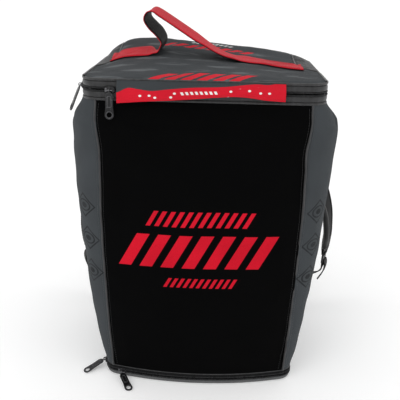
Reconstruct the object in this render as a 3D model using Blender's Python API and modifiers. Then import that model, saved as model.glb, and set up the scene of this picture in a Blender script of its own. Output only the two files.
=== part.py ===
"""Zip-top gear backpack: a tall soft bag with a zip-round lid and a zip-round base.

Metres, +Z up. The bag stands on its base with the origin at the centre of the base's underside.
-Y is the front, +X is the bag's right as seen from the front, and the shoulder straps hang at +Y.
"""

import math

import bmesh
import bpy
from mathutils import Matrix, Vector

# ---------------------------------------------------------------- driving dimensions
WALL = 0.004  # padded wall: face fabric, foam and lining
PANEL_GAP = 0.02  # in outline stations, between neighbouring panels
LID_RADIUS = 0.029  # corner radius of the lid's rim
RIM_HALF_WIDTH = 0.183
RIM_HALF_DEPTH = 0.140
RIM_ZIP_Z = 0.4930  # line where the two halves of the upper zip meet
BASE_HALF_WIDTH = 0.158
BASE_FRONT = 0.150
BASE_BACK = 0.127
BASE_RADIUS = 0.024
BASE_BOW_RADIUS = 0.500  # plan radius of the bowed front at the base
BASE_ZIP_Z = 0.0112  # line where the two halves of the lower zip meet
WALL_BOTTOM = 0.0204
WALL_TOP = 0.4747
PIPING_RADIUS = 0.0020
TAPE = 0.0010  # zip tape thickness
TAPE_HEIGHT = 0.0085
BASE_TAPE_HEIGHT = 0.0028  # above the coil on the body, and half of it below the coil on the tray
BASE_PIPING_RADIUS = 0.0010
COIL_HEIGHT = 0.0028  # height of one coil half
COIL_DEPTH = 0.0024
COIL_GAP = 0.0008  # from the zip line to either coil half
CLEAR = 0.0004  # gap kept between pieces that meet
DIVIDER_Z = 0.125
PAD_BOTTOM = 0.085
PAD_TOP = 0.385
PAD_EDGE = 4.27  # outline station of the back pad's side edges
PAD_THICKNESS = 0.010
LID_CROWN = 0.012
LID_EDGE_Z = 0.5102
WEBBING = 0.0022  # webbing thickness
HANDLE_Y = 0.012
HANDLE_WIDTH = 0.048
HANDLE_FOOT_Z = 0.5470  # the free loop starts here, high enough for the handle to rock over the lid
HANDLE_SEAM_X = 0.157  # the handle is sewn into the lid's edge seam at both sides
HANDLE_END_X = (-0.086, 0.012)  # where the sewn ends stop, left and right
HANDLE_END_RISE = 0.0027  # from the lid's face to the middle of a sewn end
FLAP_LEFT = -0.1290
FLAP_RIGHT = 0.1250
FLAP_THICKNESS = 0.0014
FLAP_STANDOFF = 0.0105  # room under the flap for the slider and its pull
FLAP_BOTTOM = 0.4755

# Body sections, bottom to top: height, half width, front depth, back depth, corner radius,
# and the curvature of the front and of the sides in plan.
SECTIONS = [
    (BASE_ZIP_Z, BASE_HALF_WIDTH, BASE_FRONT, BASE_BACK, BASE_RADIUS, 1 / BASE_BOW_RADIUS, 0.02),
    (WALL_BOTTOM, 0.1592, 0.1505, 0.1275, 0.025, 1.97, 0.03),
    (0.075, 0.169, 0.154, 0.131, 0.032, 1.70, 0.30),
    (0.160, 0.185, 0.157, 0.136, 0.047, 1.40, 0.70),
    (0.300, 0.201, 0.157, 0.140, 0.060, 1.05, 0.90),
    (0.400, 0.207, 0.154, 0.142, 0.066, 0.70, 0.80),
    (0.447, 0.2035, 0.149, 0.142, 0.052, 0.40, 0.50),
    (WALL_TOP, 0.1860, 0.1405, 0.1400, 0.031, 0.05, 0.05),
    (RIM_ZIP_Z, RIM_HALF_WIDTH, RIM_HALF_DEPTH, RIM_HALF_DEPTH, LID_RADIUS, 0.02, 0.02),
]
BACK_CURVATURE = 0.30
WALL_LEVELS = [WALL_BOTTOM, 0.052, 0.075, 0.115, 0.160, 0.230, 0.300, 0.355, 0.400, 0.425, 0.447,
               0.462, WALL_TOP]

# Outline stations: 0 is the front's centre, 1 the start of the front corner, 2 the start of the
# side, 3 the start of the back corner, 4 the start of the back and 5 the back's centre.
FRONT_SEAM = 1.12
BACK_SEAM = 3.90
ZIP_END = 2.93  # the zips stop just short of the back corners

MATERIALS = {
    "black_fabric": ((0.004, 0.004, 0.0045), 0.80, 0.0),
    "grey_fabric": ((0.050, 0.056, 0.061), 0.78, 0.0),
    "red_fabric": ((0.60, 0.010, 0.026), 0.70, 0.0),
    "red_webbing": ((0.58, 0.010, 0.026), 0.65, 0.0),
    "black_webbing": ((0.010, 0.010, 0.010), 0.75, 0.0),
    "piping": ((0.020, 0.020, 0.021), 0.55, 0.0),
    "zip_tape": ((0.012, 0.012, 0.013), 0.70, 0.0),
    "zip_coil": ((0.010, 0.010, 0.011), 0.40, 0.0),
    "slider_metal": ((0.035, 0.035, 0.037), 0.38, 0.8),
    "strap_padding": ((0.009, 0.009, 0.009), 0.85, 0.0),
    "buckle_plastic": ((0.012, 0.012, 0.012), 0.42, 0.0),
    "board_plastic": ((0.03, 0.03, 0.03), 0.60, 0.0),
}


# ---------------------------------------------------------------- scene and helpers
def clear_scene():
    for obj in list(bpy.data.objects):
        bpy.data.objects.remove(obj)


def make_collections():
    made = {}
    for name in ("gear_backpack", "cutters"):
        made[name] = bpy.data.collections.new(name)
        bpy.context.scene.collection.children.link(made[name])
    return made


def make_materials():
    made = {}
    for name, (colour, roughness, metallic) in MATERIALS.items():
        material = bpy.data.materials.new(name)
        material.use_nodes = True
        shader = material.node_tree.nodes["Principled BSDF"]
        shader.inputs["Base Color"].default_value = (*colour, 1.0)
        shader.inputs["Roughness"].default_value = roughness
        shader.inputs["Metallic"].default_value = metallic
        made[name] = material
    return made


clear_scene()
COLLECTIONS = make_collections()
MADE = make_materials()


def add(name, data, material, location=(0, 0, 0)):
    """Links an object to the bag's collection with its material."""
    obj = bpy.data.objects.new(name, data)
    data.materials.append(MADE[material])
    obj.location = location
    COLLECTIONS["gear_backpack"].objects.link(obj)
    return obj


def cutter(obj):
    for collection in obj.users_collection:
        collection.objects.unlink(obj)
    COLLECTIONS["cutters"].objects.link(obj)
    obj.hide_render = True
    obj.display_type = "WIRE"
    return obj


def boolean(obj, other, operation):
    modifier = obj.modifiers.new(operation.lower(), "BOOLEAN")
    modifier.operation = operation
    modifier.object = other
    modifier.solver = "EXACT"
    cutter(other)


def grid_mesh(name, rows, closed=False, fan=None):
    """A mesh of quads through rows of points. A closed grid joins each row's ends, and fan is a point
    that closes the first row."""
    mesh_data = bmesh.new()
    made = [[mesh_data.verts.new(p) for p in row] for row in rows]
    columns = len(rows[0])
    span = columns if closed else columns - 1
    for low, high in zip(made, made[1:]):
        for i in range(span):
            j = (i + 1) % columns
            mesh_data.faces.new((low[i], low[j], high[j], high[i]))
    if fan is not None:
        hub = mesh_data.verts.new(fan)
        for i in range(columns):
            mesh_data.faces.new((hub, made[0][(i + 1) % columns], made[0][i]))
    bmesh.ops.recalc_face_normals(mesh_data, faces=mesh_data.faces)
    mesh = bpy.data.meshes.new(name)
    mesh_data.to_mesh(mesh)
    mesh_data.free()
    return mesh


def face_outwards(mesh, outward):
    """Turns an open sheet's faces so that they point along outward on the whole. Outward is one direction or
    a function of a face's centre."""
    score = 0.0
    for polygon in mesh.polygons:
        direction = outward(polygon.center) if callable(outward) else Vector(outward)
        score += polygon.normal.dot(direction) * polygon.area
    if score < 0:
        mesh.flip_normals()


def sheet(name, rows, thickness, material, outward, offset=-1.0, closed=False, fan=None):
    """A sheet of fabric: an open surface thickened inwards by Solidify."""
    mesh = grid_mesh(name, rows, closed, fan)
    face_outwards(mesh, outward)
    obj = add(name, mesh, material)
    solidify = obj.modifiers.new("thickness", "SOLIDIFY")
    solidify.thickness = thickness
    solidify.offset = offset
    solidify.use_even_offset = True
    return obj


def tube(name, points, radius, material, cyclic=False, resolution=1):
    """A round cord as a curve with a bevel and filled caps."""
    curve = bpy.data.curves.new(name, "CURVE")
    curve.dimensions = "3D"
    curve.bevel_depth = radius
    curve.bevel_resolution = resolution
    curve.use_fill_caps = True
    spline = curve.splines.new("POLY")
    spline.points.add(len(points) - 1)
    for point, co in zip(spline.points, points):
        point.co = (*co, 1.0)
    spline.use_cyclic_u = cyclic
    return add(name, curve, material)


def as_mesh(obj):
    """A curve object turned into a mesh object with welded caps."""
    graph = bpy.context.evaluated_depsgraph_get()
    mesh = bpy.data.meshes.new_from_object(obj.evaluated_get(graph))
    work = bmesh.new()
    work.from_mesh(mesh)
    bmesh.ops.remove_doubles(work, verts=work.verts, dist=1e-6)
    work.to_mesh(mesh)
    work.free()
    name = obj.name
    matrix = obj.matrix_world.copy()
    material = obj.data.materials[0].name
    bpy.data.objects.remove(obj)
    mesh.materials.clear()
    made = add(name, mesh, material)
    made.matrix_world = matrix
    return made


def box(name, size, centre, material, bevel=0.0):
    """A box with optional rounded edges."""
    mesh = bpy.data.meshes.new(name)
    work = bmesh.new()
    bmesh.ops.create_cube(work, size=1.0)
    bmesh.ops.scale(work, vec=size, verts=work.verts)
    work.to_mesh(mesh)
    work.free()
    obj = add(name, mesh, material, centre)
    if bevel:
        rounded = obj.modifiers.new("rounded", "BEVEL")
        rounded.width = bevel
        rounded.segments = 2
    return obj


def outline_plate(name, outline, thickness, material, centre):
    """A flat plate from a closed 2D outline, as a curve extruded by half its thickness."""
    curve = bpy.data.curves.new(name, "CURVE")
    curve.dimensions = "2D"
    curve.fill_mode = "BOTH"
    curve.extrude = thickness / 2
    spline = curve.splines.new("POLY")
    spline.points.add(len(outline) - 1)
    for point, (x, y) in zip(spline.points, outline):
        point.co = (x, y, 0.0, 1.0)
    spline.use_cyclic_u = True
    return add(name, curve, material, centre)


# ---------------------------------------------------------------- the bag's outline
def section(z):
    """The body section at height z, read from SECTIONS with smooth slopes."""
    heights = [row[0] for row in SECTIONS]
    z = min(max(z, heights[0]), heights[-1])
    i = max(k for k in range(len(heights) - 1) if heights[k] <= z)
    before, low, high = SECTIONS[max(i - 1, 0)], SECTIONS[i], SECTIONS[i + 1]
    after = SECTIONS[min(i + 2, len(SECTIONS) - 1)]
    span = high[0] - low[0]
    t = (z - low[0]) / span
    values = []
    for k in range(1, len(low)):
        slope_low = (high[k] - before[k]) / (high[0] - before[0]) * span
        slope_high = (after[k] - low[k]) / (after[0] - low[0]) * span
        values.append(
            (2 * t**3 - 3 * t**2 + 1) * low[k]
            + (t**3 - 2 * t**2 + t) * slope_low
            + (3 * t**2 - 2 * t**3) * high[k]
            + (t**3 - t**2) * slope_high
        )
    return values


def tangent_centre(first, first_radius, second, second_radius, radius):
    """Centre of the circle of this radius that touches both larger circles from inside, at +X."""
    apart = second - first
    reach, other = first_radius - radius, second_radius - radius
    along = (reach**2 - other**2 + apart.length_squared) / (2 * apart.length)
    aside = math.sqrt(max(reach**2 - along**2, 0.0))
    unit = apart.normalized()
    foot = first + unit * along
    sides = [foot + Vector((-unit.y, unit.x)) * aside, foot - Vector((-unit.y, unit.x)) * aside]
    return max(sides, key=lambda p: p.x)


def arcs(z):
    """The right half of the outline at height z as five arcs: (centre, radius, start angle, end angle)."""
    half_width, front, back, corner, front_bow, side_bow = section(z)
    front_radius, side_radius = 1 / max(front_bow, 0.02), 1 / max(side_bow, 0.02)
    back_radius = 1 / BACK_CURVATURE
    front_centre = Vector((0, front_radius - front))
    side_centre = Vector((half_width - side_radius, (back - front) / 2))
    back_centre = Vector((0, back - back_radius))
    c1 = tangent_centre(front_centre, front_radius, side_centre, side_radius, corner)
    c2 = tangent_centre(back_centre, back_radius, side_centre, side_radius, corner)
    if c1.y > c2.y:
        c1, c2 = c2, c1

    def heading(origin, to):
        return math.atan2(to.y - origin.y, to.x - origin.x)

    a1, a2 = heading(front_centre, c1), heading(side_centre, c1)
    a3, a4 = heading(side_centre, c2), heading(back_centre, c2)
    return [
        (front_centre, front_radius, -math.pi / 2, a1),
        (c1, corner, a1, a2),
        (side_centre, side_radius, a2, a3),
        (c2, corner, a3, a4),
        (back_centre, back_radius, a4, math.pi / 2),
    ]


def outline(z, station, inset=0.0, height=None):
    """A point on the outline at height z. A negative station is the -X side, and height, if given, is the
    point's own z."""
    side = -1 if station < 0 else 1
    station = min(abs(station), 5.0)
    pieces = arcs(z)
    k = min(int(station), 4)
    centre, radius, start, end = pieces[k]
    angle = start + (end - start) * (station - k)
    reach = radius - inset
    return Vector((
        side * (centre.x + reach * math.cos(angle)),
        centre.y + reach * math.sin(angle),
        z if height is None else height,
    ))


def spread(start, end, steps):
    return [start + (end - start) * i / steps for i in range(steps + 1)]


def around(start, end):
    """Stations from start to end, close together on the corners and far apart on the flats."""
    marks = {0: 4, 1: 5, 2: 4, 3: 5, 4: 3}
    low, high = min(start, end), max(start, end)
    stations = {low, high}
    for side in (-1, 1):
        for k, steps in marks.items():
            stations.update(side * s for s in spread(k, k + 1, steps))
    inside = sorted(s for s in stations if low <= s <= high)
    return inside if start < end else inside[::-1]


def full_loop():
    """Stations once round the outline, without the repeated last point."""
    return around(-5, 5)[:-1]


def away_from_axis(point):
    return Vector((point.x, point.y, 0))


def wall_panel(name, stations, material, levels=None):
    rows = [[outline(z, s) for s in stations] for z in levels or WALL_LEVELS]
    return sheet(name, rows, WALL, material, away_from_axis)


def band(name, z_shape, low, high, stations, thickness, material, proud=0.0, closed=False):
    """An upright strip that follows the outline of height z_shape, from low to high."""
    rows = [[outline(z_shape, s, -proud, z) for s in stations] for z in (low, high)]
    return sheet(name, rows, thickness, material, away_from_axis, closed=closed)


# ---------------------------------------------------------------- bag body
def body_panels():
    wall_panel("front_panel", around(-FRONT_SEAM, FRONT_SEAM), "black_fabric")
    for side, sign in (("right", 1), ("left", -1)):
        stations = around(sign * (FRONT_SEAM + PANEL_GAP), sign * (BACK_SEAM - PANEL_GAP))
        wall_panel(f"{side}_side_panel", stations, "grey_fabric")
    stations = [s if s > 0 else 10 + s for s in around(BACK_SEAM, 5)]
    wrapped = stations + [-s for s in stations[-2::-1]]
    wall_panel("back_panel", wrapped, "grey_fabric")


def seam_welts():
    """Thin piping stands on each upright seam."""
    radius = 0.0012
    for end, station in (("front", FRONT_SEAM + PANEL_GAP / 2), ("back", BACK_SEAM - PANEL_GAP / 2)):
        for side, sign in (("left", -1), ("right", 1)):
            levels = [WALL_BOTTOM + CLEAR] + WALL_LEVELS[1:-1] + [WALL_TOP - CLEAR]
            points = [outline(z, sign * station, -(radius + CLEAR)) for z in levels]
            tube(f"{end}_{side}_welt", points, radius, "piping")


def zip_line(prefix, zip_z, tape_height, upper_owner, lower_owner):
    """Tapes and coil halves of one zip, and the plain bands that carry its edge round the back."""
    for sign, owner in ((1, upper_owner), (-1, lower_owner)):
        coil = sorted((zip_z + sign * COIL_GAP, zip_z + sign * (COIL_GAP + COIL_HEIGHT)))
        tape_start = zip_z + sign * COIL_GAP
        reach = tape_height / 2 if owner == "tray" else tape_height
        tape = sorted((tape_start, tape_start + sign * (COIL_HEIGHT + reach)))
        front_run = around(-ZIP_END, ZIP_END)
        band(f"{prefix}_tape_{owner}", zip_z, *tape, front_run, TAPE, "zip_tape")
        band(f"{prefix}_coil_{owner}", zip_z, *coil, front_run, COIL_DEPTH - CLEAR, "zip_coil",
             proud=COIL_DEPTH)
        half = around(ZIP_END + PANEL_GAP, 5)
        back_run = half + [-s for s in half[-2::-1]]
        band(f"rear_{prefix}_band_{owner}", zip_z, *tape, back_run, 0.0025, "grey_fabric")


def rim_pipings():
    """Round piping closes the body's rim, the lid's edge and the body's lower edge."""
    rim_offset = COIL_GAP + COIL_HEIGHT + TAPE_HEIGHT + PIPING_RADIUS + CLEAR
    base_offset = COIL_GAP + COIL_HEIGHT + BASE_TAPE_HEIGHT + BASE_PIPING_RADIUS + CLEAR
    for name, zip_z, offset, radius in (
        ("rim_piping_body", RIM_ZIP_Z, -rim_offset, PIPING_RADIUS),
        ("rim_piping_lid", RIM_ZIP_Z, rim_offset, PIPING_RADIUS),
        ("base_piping_body", BASE_ZIP_Z, base_offset, BASE_PIPING_RADIUS),
    ):
        points = [outline(zip_z, s, 0.0, zip_z + offset) for s in full_loop()]
        tube(name, points, radius, "piping", cyclic=True)


def divider():
    """The floor that parts the main compartment from the shoe compartment below it."""
    inset = WALL + 0.0012
    points = [outline(DIVIDER_Z, s, inset) for s in full_loop()]
    outline_plate("divider_floor", [(p.x, p.y) for p in points], 0.003, "board_plastic", (0, 0, DIVIDER_Z))


def back_pad():
    """Padded cushion on the back, where it lies against the wearer."""
    half = spread(PAD_EDGE, 5, 4)
    stations = half + [-s for s in half[-2::-1]]
    rows = [[outline(z, s, -CLEAR) for s in stations] for z in spread(PAD_BOTTOM, PAD_TOP, 6)]
    sheet("back_pad", rows, PAD_THICKNESS, "strap_padding", (0, 1, 0), offset=1.0)


# ---------------------------------------------------------------- lid, flap and handle
def lid_height(x, y):
    """Height of the lid's upper face: a low dome, fullest a little behind the centre."""
    across = 1 - (x / RIM_HALF_WIDTH) ** 4
    along = 1 - ((y - 0.03) / (RIM_HALF_DEPTH + 0.03)) ** 2
    return LID_EDGE_Z + WALL + LID_CROWN * max(across, 0) * max(along, 0) ** 0.8


def lid():
    rows = []
    for share in (0.18, 0.40, 0.60, 0.78, 0.90, 0.965, 1.0):
        ring = [outline(RIM_ZIP_Z, s) for s in full_loop()]
        rows.append([Vector((p.x * share, p.y * share, lid_height(p.x * share, p.y * share) if share < 1
                             else LID_EDGE_Z + WALL)) for p in ring])
    hub = (0, 0, lid_height(0, 0))
    sheet("lid_panel", rows, WALL - CLEAR, "grey_fabric", (0, 0, 1), closed=True, fan=hub)


def storm_flap():
    """Red flap sewn along the lid's front edge; it hangs over the upper zip."""
    top = RIM_ZIP_Z + COIL_GAP + COIL_HEIGHT + TAPE_HEIGHT + PIPING_RADIUS
    front = RIM_HALF_DEPTH + PIPING_RADIUS + CLEAR
    profile = [
        (front + 0.0016, top + 0.0015),
        (front + 0.0050, top + 0.0006),
        (front + FLAP_STANDOFF - 0.0025, top - 0.0050),
        (front + FLAP_STANDOFF, top - 0.0130),
        (front + FLAP_STANDOFF, FLAP_BOTTOM),
    ]
    rows = [[Vector((x, -y, z)) for x in spread(FLAP_LEFT, FLAP_RIGHT, 6)] for y, z in profile]
    sheet("storm_flap", rows, FLAP_THICKNESS, "red_fabric", (0, -1, 0.2))


def handle_path():
    """Centre line of the handle's free loop in the X-Z plane, left foot to right foot. It leans to the left
    and folds over at the top."""
    return [
        (-0.0715, HANDLE_FOOT_Z), (-0.0730, 0.5550), (-0.0800, 0.5650), (-0.0900, 0.5745),
        (-0.0978, 0.5850), (-0.0960, 0.5950), (-0.0870, 0.5990), (-0.0770, 0.5940),
        (-0.0535, 0.5795), (-0.0202, 0.5583), (-0.0020, HANDLE_FOOT_Z),
    ]


def smooth_path(points, steps=3):
    """Catmull-Rom points through a path."""
    path = [Vector(p) for p in points]
    path = [2 * path[0] - path[1], *path, 2 * path[-1] - path[-2]]
    made = []
    for a, b, c, d in zip(path, path[1:], path[2:], path[3:]):
        for i in range(steps):
            t = i / steps
            made.append(0.5 * (2 * b + (c - a) * t + (2 * a - 5 * b + 4 * c - d) * t**2
                               + (3 * b - a - 3 * c + d) * t**3))
    return made + [path[-2]]


def handle():
    """Webbing handle: two ends sewn flat to the lid and the free loop between them."""
    half = HANDLE_WIDTH / 2
    loop = smooth_path(handle_path(), 2)
    rows = [[Vector((p.x, HANDLE_Y + w, p.y)) for p in loop] for w in (-half, half)]
    sheet("grab_handle", rows, WEBBING, "red_webbing", (0, 0, 1), offset=0.0)
    for name, sign, end_x in (("left", -1, HANDLE_END_X[0]), ("right", 1, HANDLE_END_X[1])):
        rows = []
        for y in spread(HANDLE_Y - half, HANDLE_Y + half, 4):
            rows.append([Vector((x, y, lid_height(x, y) + HANDLE_END_RISE))
                         for x in spread(sign * HANDLE_SEAM_X, end_x, 8)])
        sheet(f"handle_end_{name}", rows, WEBBING, "red_webbing", (0, 0, 1), offset=0.0)


# ---------------------------------------------------------------- base
def base():
    """Shallow tray that closes the shoe compartment, with its stiffening board."""
    edge_z = BASE_ZIP_Z - COIL_GAP - COIL_HEIGHT - BASE_TAPE_HEIGHT / 2 - CLEAR
    floor_radius = 0.003
    rows = []
    for share in (0.25, 0.65, 0.93):
        rows.append([Vector((p.x * share, p.y * share, 0)) for p in
                     (outline(BASE_ZIP_Z, s) for s in full_loop())])
    for turn in spread(0, math.pi / 2, 2):
        inset = floor_radius * (1 - math.sin(turn))
        height = floor_radius * (1 - math.cos(turn))
        rows.append([outline(BASE_ZIP_Z, s, inset, height) for s in full_loop()])
    rows.append([outline(BASE_ZIP_Z, s, 0, edge_z) for s in full_loop()])
    sheet("base_panel", rows, 0.0025, "board_plastic", (0, 0, -1), closed=True, fan=(0, 0, 0))
    points = [outline(BASE_ZIP_Z, s, 0.010) for s in full_loop()]
    outline_plate("base_stiffener", [(p.x, p.y) for p in points], 0.003, "board_plastic", (0, 0, 0.0042))


# ---------------------------------------------------------------- zip sliders and pulls
PLATE = 0.0014
SLIDER_LENGTH = 0.0150
SLIDER_HEIGHT = 0.0098
POST_LENGTH = 0.0045
POST_HEIGHT = 0.0008
CROWN_RADIUS = 0.0008
CROWN_RISE = 0.0030
CROWN_HALF_LENGTH = 0.0050
CROWN_CORNER = 0.0012
PULL_LENGTH = 0.0400
PULL_WIDTH = 0.0135
PULL_THICKNESS = 0.0018
PULL_HOLE = 0.0038  # radius of the finger hole
EYE_INNER = 0.0019
EYE_WIRE = 0.0006
PULL_START = -(EYE_INNER + 2 * EYE_WIRE - 0.0004)  # the tab's upper edge, just inside its eye
BAR_OUT = COIL_DEPTH + CLEAR + PLATE + CROWN_RISE  # crown bar to the tape's face
RIM_FRONT_PULL_LIFT = math.radians(6)  # the pull clears the front's bulge along its whole travel
RIM_SIDE_PULL_LIFT = math.radians(23)  # the bulging side holds this pull away from the zip
RIM_SIDE_PULL_YAW = math.radians(22)  # the pulls turn towards the front on their crowns
BASE_PULL_LIFT = math.radians(76)  # the lower pulls lean out so that their tips touch the floor
BASE_PULL_YAW = math.radians(42)
RIM_FRONT_SLIDER_X = -0.1390
RIM_SIDE_SLIDER_Y = -0.1020
BASE_FRONT_SLIDER_X = -0.1280
BASE_SIDE_SLIDER_Y = -0.1000


def joined(name, pieces):
    """One object from pieces that overlap, by Boolean unions."""
    first = pieces[0]
    for other in pieces[1:]:
        boolean(first, other, "UNION")
    first.name = name
    return first


def slider(name, position, turn):
    """A slider with two plates, the post between the coil halves, and a crown. Local +X is its travel and
    local -Y is outward; position is on the tape's face at the zip line."""
    place = Matrix.Translation(position) @ Matrix.Rotation(turn, 4, "Z")
    plate_size = (SLIDER_LENGTH, PLATE, SLIDER_HEIGHT)
    outer_y = -(COIL_DEPTH + CLEAR + PLATE / 2)
    inner_y = TAPE + CLEAR + PLATE / 2
    outer = box(name, plate_size, (0, 0, 0), "slider_metal")
    inner = box(f"{name}_inner", plate_size, (0, 0, 0), "slider_metal")
    post = box(f"{name}_post", (POST_LENGTH, inner_y - outer_y, POST_HEIGHT), (0, 0, 0), "slider_metal")
    bend = -BAR_OUT + CROWN_CORNER
    straight = CROWN_HALF_LENGTH - CROWN_CORNER
    points = [(-CROWN_HALF_LENGTH, outer_y, 0), (-CROWN_HALF_LENGTH, bend, 0), (-straight, -BAR_OUT, 0),
              (straight, -BAR_OUT, 0), (CROWN_HALF_LENGTH, bend, 0), (CROWN_HALF_LENGTH, outer_y, 0)]
    crown = as_mesh(tube(f"{name}_crown", points, CROWN_RADIUS, "slider_metal"))
    for piece, y in ((outer, outer_y), (inner, inner_y), (post, (outer_y + inner_y) / 2), (crown, 0)):
        piece.matrix_world = place @ Matrix.Translation((0, y, 0))
    return joined(name, [outer, inner, post, crown])


def pull_outline():
    """Outline of a pull tab in its own plane: y runs down its length from the eye."""
    half = PULL_WIDTH / 2
    waist = half * 0.86
    neck = half * 0.20
    shoulder_drop, flare_drop = 0.0045, 0.0220
    end = PULL_START - PULL_LENGTH
    points = [(neck, PULL_START), (waist, PULL_START - shoulder_drop), (waist, PULL_START - flare_drop)]
    points += [(half * math.cos(a), end + half + half * math.sin(a)) for a in spread(0, -math.pi, 8)]
    points += [(-x, y) for x, y in points[2::-1]]
    return points


def pull(name, position, turn, lift=0.0, yaw=0.0):
    """A pull tab that hangs from a slider's crown: a flat tab with a finger hole, and an eye round the crown's
    bar. Its origin is on the bar. Lift swings it outward from hanging straight down, and yaw turns it on
    the loose eye."""
    bar = Matrix.Translation(position) @ Matrix.Rotation(turn, 4, "Z") @ Matrix.Translation((0, -BAR_OUT, 0))
    place = bar @ Matrix.Rotation(yaw, 4, "Z") @ Matrix.Rotation(-lift, 4, "X")
    upright = Matrix.Rotation(math.pi / 2, 4, "X")
    tab = as_mesh(outline_plate(name, pull_outline(), PULL_THICKNESS, "slider_metal", (0, 0, 0)))
    tab.matrix_world = place @ upright
    eye_radius = EYE_INNER + EYE_WIRE
    eye = [(0, eye_radius * math.cos(a), eye_radius * math.sin(a)) for a in spread(0, 2 * math.pi, 12)[:-1]]
    ring = as_mesh(tube(f"{name}_eye", eye, EYE_WIRE, "slider_metal", cyclic=True))
    ring.matrix_world = place
    work = bmesh.new()
    bmesh.ops.create_cone(work, cap_ends=True, segments=14, radius1=PULL_HOLE, radius2=PULL_HOLE, depth=0.01)
    mesh = bpy.data.meshes.new(f"{name}_hole")
    work.to_mesh(mesh)
    work.free()
    hole = add(f"{name}_hole", mesh, "slider_metal")
    hole_z = PULL_START - PULL_LENGTH + PULL_WIDTH / 2
    hole.matrix_world = place @ Matrix.Translation((0, 0, hole_z)) @ upright
    boolean(tab, hole, "DIFFERENCE")
    boolean(tab, ring, "UNION")
    return tab


def zip_sliders():
    """Two sliders on each zip meet at the bag's front left corner: one on the front, one on the side."""
    clear_of_tape = 0.0001
    front_y = min(outline(RIM_ZIP_Z, -s).y for s in (0.90, 0.95)) - clear_of_tape
    rim_front = Vector((RIM_FRONT_SLIDER_X, front_y, RIM_ZIP_Z))
    rim_side = Vector((-RIM_HALF_WIDTH - clear_of_tape, RIM_SIDE_SLIDER_Y, RIM_ZIP_Z))
    slider("rim_front_slider", rim_front, 0)
    pull("rim_front_pull", rim_front, 0, RIM_FRONT_PULL_LIFT)
    slider("rim_side_slider", rim_side, -math.pi / 2)
    pull("rim_side_pull", rim_side, -math.pi / 2, RIM_SIDE_PULL_LIFT, RIM_SIDE_PULL_YAW)

    turn = math.asin(-BASE_FRONT_SLIDER_X / BASE_BOW_RADIUS)
    base_front_y = BASE_BOW_RADIUS * (1 - math.cos(turn)) - BASE_FRONT
    base_front = Vector((BASE_FRONT_SLIDER_X, base_front_y, BASE_ZIP_Z))
    base_side = Vector((-BASE_HALF_WIDTH - clear_of_tape, BASE_SIDE_SLIDER_Y, BASE_ZIP_Z))
    slider("base_front_slider", base_front, -turn)
    pull("base_front_pull", base_front, -turn, BASE_PULL_LIFT, BASE_PULL_YAW)
    slider("base_side_slider", base_side, -math.pi / 2)
    pull("base_side_pull", base_side, -math.pi / 2, BASE_PULL_LIFT, BASE_PULL_YAW)


# ---------------------------------------------------------------- shoulder straps
STRAP_HALF_WIDTH = 0.030
STRAP_THICKNESS = 0.011
YOKE_Z = 0.4500
YOKE_SIZE = (0.190, 0.0060, 0.0260)
ANCHOR_Z = 0.0550
ANCHOR_SIZE = (0.040, 0.0040, 0.034)
LOCK_DROP = 0.0200  # pad's end to the centre of its ladder lock
LOCK_THICKNESS = 0.0035
LOCK_HALF_SIZE = (0.0175, 0.0120)
LOCK_CUT = 0.0030  # size of its cut corners
LOCK_SLOT = (0.0270, 0.02, 0.0056)
LOCK_SLOT_Z = 0.0057
WEBBING_HALF_WIDTH = 0.0125


def pad_route(sign):
    """Centre line of a padded strap from the yoke down, each point with its twist in degrees. The right strap
    hangs a little farther out than the left."""
    out = 0.0 if sign > 0 else -0.007
    right = [
        ((0.055, 0.1590, 0.4340), 0), ((0.090, 0.1700, 0.4040), 8), ((0.142, 0.1820, 0.3560), 24),
        ((0.196, 0.1890, 0.3020), 44), ((0.233, 0.1920, 0.2480), 60), ((0.2525, 0.1920, 0.1980), 70),
        ((0.2580, 0.1910, 0.1500), 74), ((0.2550, 0.1885, 0.1150), 70),
    ]
    return [((sign * (x + out * x / 0.25), y, z), -twist * sign) for (x, y, z), twist in right]


def ribbon_frame(point, along, twist):
    """Local axes of a strap at a point: X across it, Z back along it and Y out of its face."""
    side = Vector((0, 1, 0)).cross(along).normalized()
    across = Matrix.Rotation(math.radians(twist), 3, along) @ side
    rotation = Matrix((across, along.cross(across) * -1, -along)).transposed()
    return Matrix.Translation(point) @ rotation.to_4x4()


def ribbon(name, route, half_width, thickness, material, steps=2):
    """A strap: a flat band along a 3D route of points with twists."""
    points = smooth_path([c for c, _ in route], steps)
    twists = [v.x for v in smooth_path([(t, 0, 0) for _, t in route], steps)]
    rows = [[], []]
    for i, (point, twist) in enumerate(zip(points, twists)):
        along = (points[min(i + 1, len(points) - 1)] - points[max(i - 1, 0)]).normalized()
        frame = ribbon_frame(point, along, twist)
        rows[0].append(frame @ Vector((-half_width, 0, 0)))
        rows[1].append(frame @ Vector((half_width, 0, 0)))
    return sheet(name, rows, thickness, material, (0, 1, 0), offset=0.0)


def strap_end(sign):
    """Where a pad ends: its end point, its direction there and its twist."""
    route = pad_route(sign)
    end = Vector(route[-1][0])
    return end, (end - Vector(route[-2][0])).normalized(), route[-1][1]


def ladder_lock(name, frame):
    """A buckle with two slots: the upper one holds the pad's loop, the lower one the webbing."""
    half_width, half_height = LOCK_HALF_SIZE
    quarter = [(half_width - LOCK_CUT, half_height), (half_width, half_height - LOCK_CUT)]
    right = quarter + [(x, -y) for x, y in quarter[::-1]]
    corners = right + [(-x, y) for x, y in right[::-1]]
    lock = as_mesh(outline_plate(name, corners, LOCK_THICKNESS, "buckle_plastic", (0, 0, 0)))
    lock.matrix_world = frame @ Matrix.Rotation(math.pi / 2, 4, "X")
    for label, height in (("upper", LOCK_SLOT_Z), ("lower", -LOCK_SLOT_Z)):
        slot = box(f"{name}_{label}_slot", LOCK_SLOT, (0, 0, 0), "buckle_plastic")
        slot.matrix_world = frame @ Matrix.Translation((0, 0, height))
        boolean(lock, slot, "DIFFERENCE")


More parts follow.
